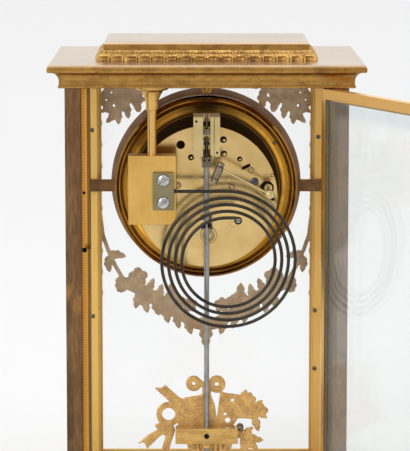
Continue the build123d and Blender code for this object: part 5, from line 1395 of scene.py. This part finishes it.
# %% Gong post and hammer
GONG_POST_PLACE = Vector((32.7, 47.0, 0)) * MM
GONG_POST_PROFILE = (
    (2.6, 238.2), (2.6, 264.9), (3.5, 265.0), (3.7, 265.3), (3.7, 267.5), (3.85, 269.4),
    (4.15, 271.2), (4.7, 272.8), (5.5, 274.5), (6.4, 276.0), (6.9, 276.7), (7.2, 276.8),
    (8.9, 277.1), (9.7, 277.6), (10.2, 278.5), (10.2, 280.0),
)
HEAD_UPPER = Vector((-8.9, 54.45, 234.3))
HEAD_LOWER = Vector((-4.2, 54.45, 222.2))
HEAD_PROFILE = (
    (1.5, 0), (2.0, 0.25), (2.35, 0.9), (2.35, 2.1), (1.95, 2.35), (1.95, 2.7), (2.55, 2.95),
    (2.55, 9.7), (2.1, 9.95), (2.1, 10.3), (2.45, 10.55), (2.45, 12.3), (2.1, 12.85), (1.4, 12.98),
)
HUB_PROFILE = ((2.3, 0), (2.7, 0.3), (2.7, 3.1), (2.4, 3.4), (1.5, 3.4), (1.4, 4.0), (0.7, 4.3))
HUB_PLACE = (-37.6, 52.4, 215.1)
HUB_SCREW_PLACE = (-38.9, 55.6, 216.4)
HUB_SCREW_RADIUS = 1.1
HUB_SCREW_TURN = 20


def turned_piece(name, profile, place, body, material, stands_for, smooth_deg=40):
    """One turned part, set in its place and handed over."""
    piece = turned(profile)
    piece.data.transform(place)
    piece.name = name
    return hand_over(piece, body, material, stands_for, smooth_deg)


turned_piece("gong_foot", GONG_POST_PROFILE, Matrix.Translation(GONG_POST_PLACE),
             "case", post_brass, ["gong_post"])
lay = (HEAD_LOWER - HEAD_UPPER).to_track_quat("Z", "Y").to_matrix().to_4x4()
turned_piece("hammer_barrel", HEAD_PROFILE, Matrix.Translation(HEAD_UPPER * MM) @ lay,
             "hammer", hammer_steel, ["hammer_head"], 35)

hub = turned(HUB_PROFILE)
hub.data.transform(set_on(*HUB_PLACE, 1))
hub_screw = stamp(screw_model, set_on(*HUB_SCREW_PLACE, HUB_SCREW_RADIUS, HUB_SCREW_TURN))
hammer_hub = join([hub, hub_screw], "hammer_hub")
hand_over(hammer_hub, "hammer", pale_brass, smooth_deg=35)

# %% [markdown]
# ## The nut under the cornice
#
# One stud draws the whole stepped top down onto the cornice, and its nut shows inside the case as a
# small cone.

# %% Cap nut
STUD_PROFILE = (
    (0.9, 273.4), (1.7, 273.7), (2.3, 274.5), (3.1, 275.9), (4.0, 277.3), (4.8, 278.5),
    (5.2, 279.1), (5.2, 280.0), (2.2, 280.0), (2.2, 293.9),
)
STUD_PLACE = Vector((0, 38.0, 0)) * MM
turned_piece("cap_nut", STUD_PROFILE, Matrix.Translation(STUD_PLACE),
             "case", case_brass, ["cap_stud"])

# %% [markdown]
# ## Suspension and bob
#
# The pendulum hangs from a thin spring between two steel chops. Pins go through the chops and the
# cheeks, and the holes in the cheeks are flat black discs of painted shade. Such a disc also stands
# for the hole where the rod's end comes through the bob's cross-bar, and a steel peg stands at one
# end of the bar.

# %% Suspension and bob details
CHEEK_FACE = 46.0
CHOP_FACE = 44.0
CHEEK_HOLES = ((6.2, CHEEK_FACE, 258.0, 0.75), (-6.3, CHEEK_FACE, 239.2, 0.7))
UPPER_PINS = ((0.9, CHOP_FACE, 252.6, 0.85), (-1.0, CHOP_FACE, 252.6, 0.85))
LOWER_PINS = ((1.5, CHOP_FACE, 234.4, 0.8), (-1.5, CHOP_FACE, 234.4, 0.8))
BOB_PEG = ((-20.4, 36.0, 69.4, 2.3, 0, 5.5),)
BOB_HOLE = ((0, 45.0, 65.3, 1.6),)
fit_out("cheek_holes", hole_model, CHEEK_HOLES, "case", hole_shade_black)
fit_out("upper_chop_pin", pivot_model, UPPER_PINS, "case", hammer_steel)
fit_out("lower_chop_pins", pivot_model, LOWER_PINS, "pendulum", dark_steel)
fit_out("bob_peg", pivot_model, BOB_PEG, "pendulum", chop_steel)
fit_out("bob_hole", hole_model, BOB_HOLE, "pendulum", hole_shade_black)

# %% [markdown]
# ## The bead under the cornice
#
# A thin half-round bead runs round the bottom of the cornice. It is a rectangle whose face is
# deleted: the four edges become a curve, and the curve's bevel makes them round, with mitred
# corners.

# %% Cornice bead
def bead_loop(half_x, half_y, z, radius):
    """Round bead on a rectangle."""
    loop = add_new(bpy.ops.mesh.primitive_plane_add, size=2)
    size = Matrix.Diagonal((half_x * MM, half_y * MM, 1, 1))
    loop.data.transform(Matrix.Translation((0, 0, z * MM)) @ size)
    enter_edit()
    bpy.ops.mesh.delete(type="ONLY_FACE")
    leave_edit(outward=False)
    bpy.ops.object.convert(target="CURVE")
    loop = bpy.context.object
    loop.data.bevel_depth = radius * MM
    loop.data.bevel_resolution = 3
    bpy.ops.object.convert(target="MESH")
    return bpy.context.object


CORNICE_NECK = (87.3, 69.4)
BEAD_SINK = 0.25
BEAD_HEIGHT = 280.9
BEAD_RADIUS = 0.85
bead = bead_loop(*[half - BEAD_SINK for half in CORNICE_NECK], BEAD_HEIGHT, BEAD_RADIUS)
bead.name = "cornice_bead"
hand_over(bead, "case", case_brass, smooth_deg=50)

# %% [markdown]
# ## The dial
#
# Numbers and minute track are fired onto the enamel as a thin black layer. Each Roman figure is
# drawn from broad and fine strokes with serifs, in a square of its own, and then turned to its hour
# with its foot towards the centre.

# %% Dial figures
DIAL_FACE = -51.4
INK_RISE = 0.12
FIGURE_HEIGHT = 9.0
FIGURE_MIDDLE = 37.5
HOURS = ("XII", "I", "II", "III", "IIII", "V", "VI", "VII", "VIII", "IX", "X", "XI")
SERIF = 0.045
STROKES = {
    "I": (0.34, ((0.17, 0, 0.17, 1, 0.15),), ((0.02, 0.32, 0), (0.02, 0.32, 1))),
    "V": (0.64, ((0.32, 0, 0.14, 1, 0.15), (0.32, 0, 0.53, 1, 0.05)),
          ((0.01, 0.27, 1), (0.42, 0.63, 1))),
    "X": (0.66, ((0.52, 0, 0.14, 1, 0.15), (0.14, 0, 0.53, 1, 0.05)),
          ((0.01, 0.27, 1), (0.42, 0.65, 1), (0.01, 0.25, 0), (0.39, 0.65, 0))),
}


def dial_place(across, out, turn_deg):
    """Place on the dial: millimetres to the side and outwards, turned clockwise from twelve."""
    turn = radians(turn_deg)
    x = out * sin(turn) + across * cos(turn)
    return (x, AXIS_HEIGHT + out * cos(turn) - across * sin(turn))


def ink_shape(corners, turn_deg):
    """Thin black shape; corners are millimetres to the side and out from the centre."""
    places = [dial_place(across, out, turn_deg) for across, out in corners]
    return flat_plate(places, DIAL_FACE - INK_RISE, DIAL_FACE + INK_RISE)


def figure_shapes(figure, turn_deg):
    """Strokes of one hour's figure."""
    wide = sum(STROKES[letter][0] for letter in figure)
    shapes = []
    start = -wide / 2
    for letter in figure:
        width, stems, serifs = STROKES[letter]
        outlines = [((a - w / 2, b), (a + w / 2, b), (c + w / 2, d), (c - w / 2, d))
                    for a, b, c, d, w in stems]
        outlines += [((a, h - SERIF), (b, h - SERIF), (b, h + SERIF), (a, h + SERIF))
                     for a, b, h in serifs]
        for outline in outlines:
            corners = [((start + u) * FIGURE_HEIGHT, FIGURE_MIDDLE + (v - 0.5) * FIGURE_HEIGHT)
                       for u, v in outline]
            shapes.append(ink_shape(corners, turn_deg))
        start += width
    return shapes


ink = [shape for hour, figure in enumerate(HOURS) for shape in figure_shapes(figure, 30 * hour)]
print(len(ink), "strokes for twelve figures")

# %% [markdown]
# ## Minute track and collets
#
# The tracks are flat rings: a circle's edge is extruded, made smaller and given a thickness. The
# minute marks are bars between two of them, broader at each hour. Gilt rings line the holes for the
# two winding squares and the hands.

# %% Dial tracks and collets
TRACK_INNER = 44.0
TRACK_OUTER = 46.6
TRACK_LINE = 0.15
HOUR_MARK = 0.5
MINUTE_MARK = 0.17
WINDING_HOLE = 3.5
WINDING_RING = 1.1
WINDING_PLACES = ((-16, -17), (16, -17))
CENTRE_HOLE = 3.2
CENTRE_RING = 1.2
COLLET_RISE = 0.8


def annulus(inner, outer, thickness, x=0, z=AXIS_HEIGHT):
    """Flat ring on the dial."""
    ring = add_new(bpy.ops.mesh.primitive_circle_add, vertices=96, radius=outer * MM)
    enter_edit()
    bpy.ops.mesh.extrude_edges_move()
    ratio = inner / outer
    bpy.ops.transform.resize(value=(ratio, ratio, 1), center_override=(0, 0, 0))
    leave_edit(outward=False)
    apply_modifier(ring, "SOLIDIFY", thickness=thickness * MM, offset=0)
    ring.data.transform(set_on(x, DIAL_FACE, z, 1, rear=False))
    enter_edit()
    leave_edit()
    return ring


def black_enamel(name):
    """Fired black, a little thinner and greyer in places."""
    finish = Finish(name, metallic=0.0, coat_weight=0.4, coat_roughness=0.05)
    thin = finish.grey_ramp(finish.noise(2.5, 4), 0.55, 0.8)
    finish.feed(base_color=finish.mix(thin, (0.012, 0.011, 0.012), (0.05, 0.045, 0.045)))
    finish.feed(roughness=0.25 + thin * 0.2)
    return finish.material


for minute in range(60):
    half = HOUR_MARK if minute % 5 == 0 else MINUTE_MARK
    corners = ((-half, TRACK_INNER), (half, TRACK_INNER), (half, TRACK_OUTER), (-half, TRACK_OUTER))
    ink.append(ink_shape(corners, 6 * minute))
for radius in (TRACK_INNER, TRACK_OUTER):
    ink.append(annulus(radius - TRACK_LINE, radius + TRACK_LINE, 2 * INK_RISE))
hand_over(join(ink, "dial_figures"), "case", black_enamel("dial_ink"))
collets = [annulus(WINDING_HOLE, WINDING_HOLE + WINDING_RING, COLLET_RISE, x, AXIS_HEIGHT + rise)
           for x, rise in WINDING_PLACES]
collets.append(annulus(CENTRE_HOLE, CENTRE_HOLE + CENTRE_RING, COLLET_RISE))
hand_over(join(collets, "dial_collets"), "case", door_brass, smooth_deg=40)
for pattern in (screw_model, dome_model, bush_model, pivot_model, hole_model):
    drop_pattern(pattern)

# %% [markdown]
# ## Floor and light
#
# A pale sweep of paper under and behind the clock, one large soft light overhead, a key from the
# photographer's left and a weaker fill from the right. The room is pale, and greyer on the
# photographer's side, so that polished brass has something darker to mirror.

# %% Floor and lights
FLOOR_SIZE = 40
PAPER_FAR_LIT = (0.885, 0.885, 0.89)
PAPER_NEAR_SHADED = (0.77, 0.77, 0.775)
SKY_RISE = (0.15, 0.8)
CLOCK_MIDDLE = (0, 0, 0.18)


def paper():
    """Matt paper, painted lighter far behind the clock and darker near the camera: painted light.
    """
    finish = Finish("paper", metallic=0.0)
    # painted light and shade: the paper darkens towards the camera's side
    near = finish.grey_ramp(finish.along("Y") + finish.noise(400, 2) * 0.2, -2.6, 0.2)
    finish.feed(base_color=finish.mix(near, PAPER_FAR_LIT, PAPER_NEAR_SHADED))
    finish.feed(roughness=0.7 + finish.noise(60, 3) * 0.1)
    return finish.material


def soft_light(name, place, target, size, power, colour=(1, 1, 1)):
    """Large rectangular lamp turned to face a point."""
    lamp = add_new(bpy.ops.object.light_add, type="AREA", location=place)
    lamp.name = name
    lamp.data.shape = "RECTANGLE"
    lamp.data.size = size[0]
    lamp.data.size_y = size[1]
    lamp.data.energy = power
    lamp.data.color = colour
    aim = Vector(target) - Vector(place)
    lamp.rotation_euler = aim.to_track_quat("-Z", "Y").to_euler()
    return lamp


def studio_world(sky, behind_clock, behind_camera):
    """Pale room that is darker on the photographer's side than behind the clock."""
    world = bpy.data.worlds.new("studio")
    room = Graph(world)
    way = room.node("ShaderNodeTexCoord", output="Generated")
    across = room.node("ShaderNodeSeparateXYZ", {}, {"Vector": way}, output="Y")
    up = room.node("ShaderNodeSeparateXYZ", {}, {"Vector": way}, output="Z")
    stops = ((0, behind_clock), (1, behind_camera))
    wall = room.node("ShaderNodeValToRGB", {"stops": stops}, {0: across})
    tone = room.mix(room.grey_ramp(up, *SKY_RISE), wall, sky)
    room.tree.links.new(tone.socket, room.tree.nodes["Background"].inputs["Color"])
    return world


floor = add_new(bpy.ops.mesh.primitive_plane_add, size=FLOOR_SIZE)
floor.name = "floor"
floor.data.materials.append(paper())
bpy.context.scene.world = studio_world((1.0, 1.0, 1.0), (1.02, 1.02, 1.02), (0.66, 0.66, 0.67))
bpy.context.scene.view_settings.view_transform = "Standard"
soft_light("overhead", (0, 0.3, 2.2), CLOCK_MIDDLE, (2.4, 2.0), 10)
soft_light("key", (1.2, 1.9, 1.2), CLOCK_MIDDLE, (1.0, 1.4), 18, (1.0, 0.98, 0.95))
soft_light("fill", (-1.6, 1.5, 0.8), CLOCK_MIDDLE, (0.8, 1.2), 7)

# %% [markdown]
# ## Sizes
#
# The dressed clock has to be as large as its solids; this cell measures neither box.

print("dressing done")
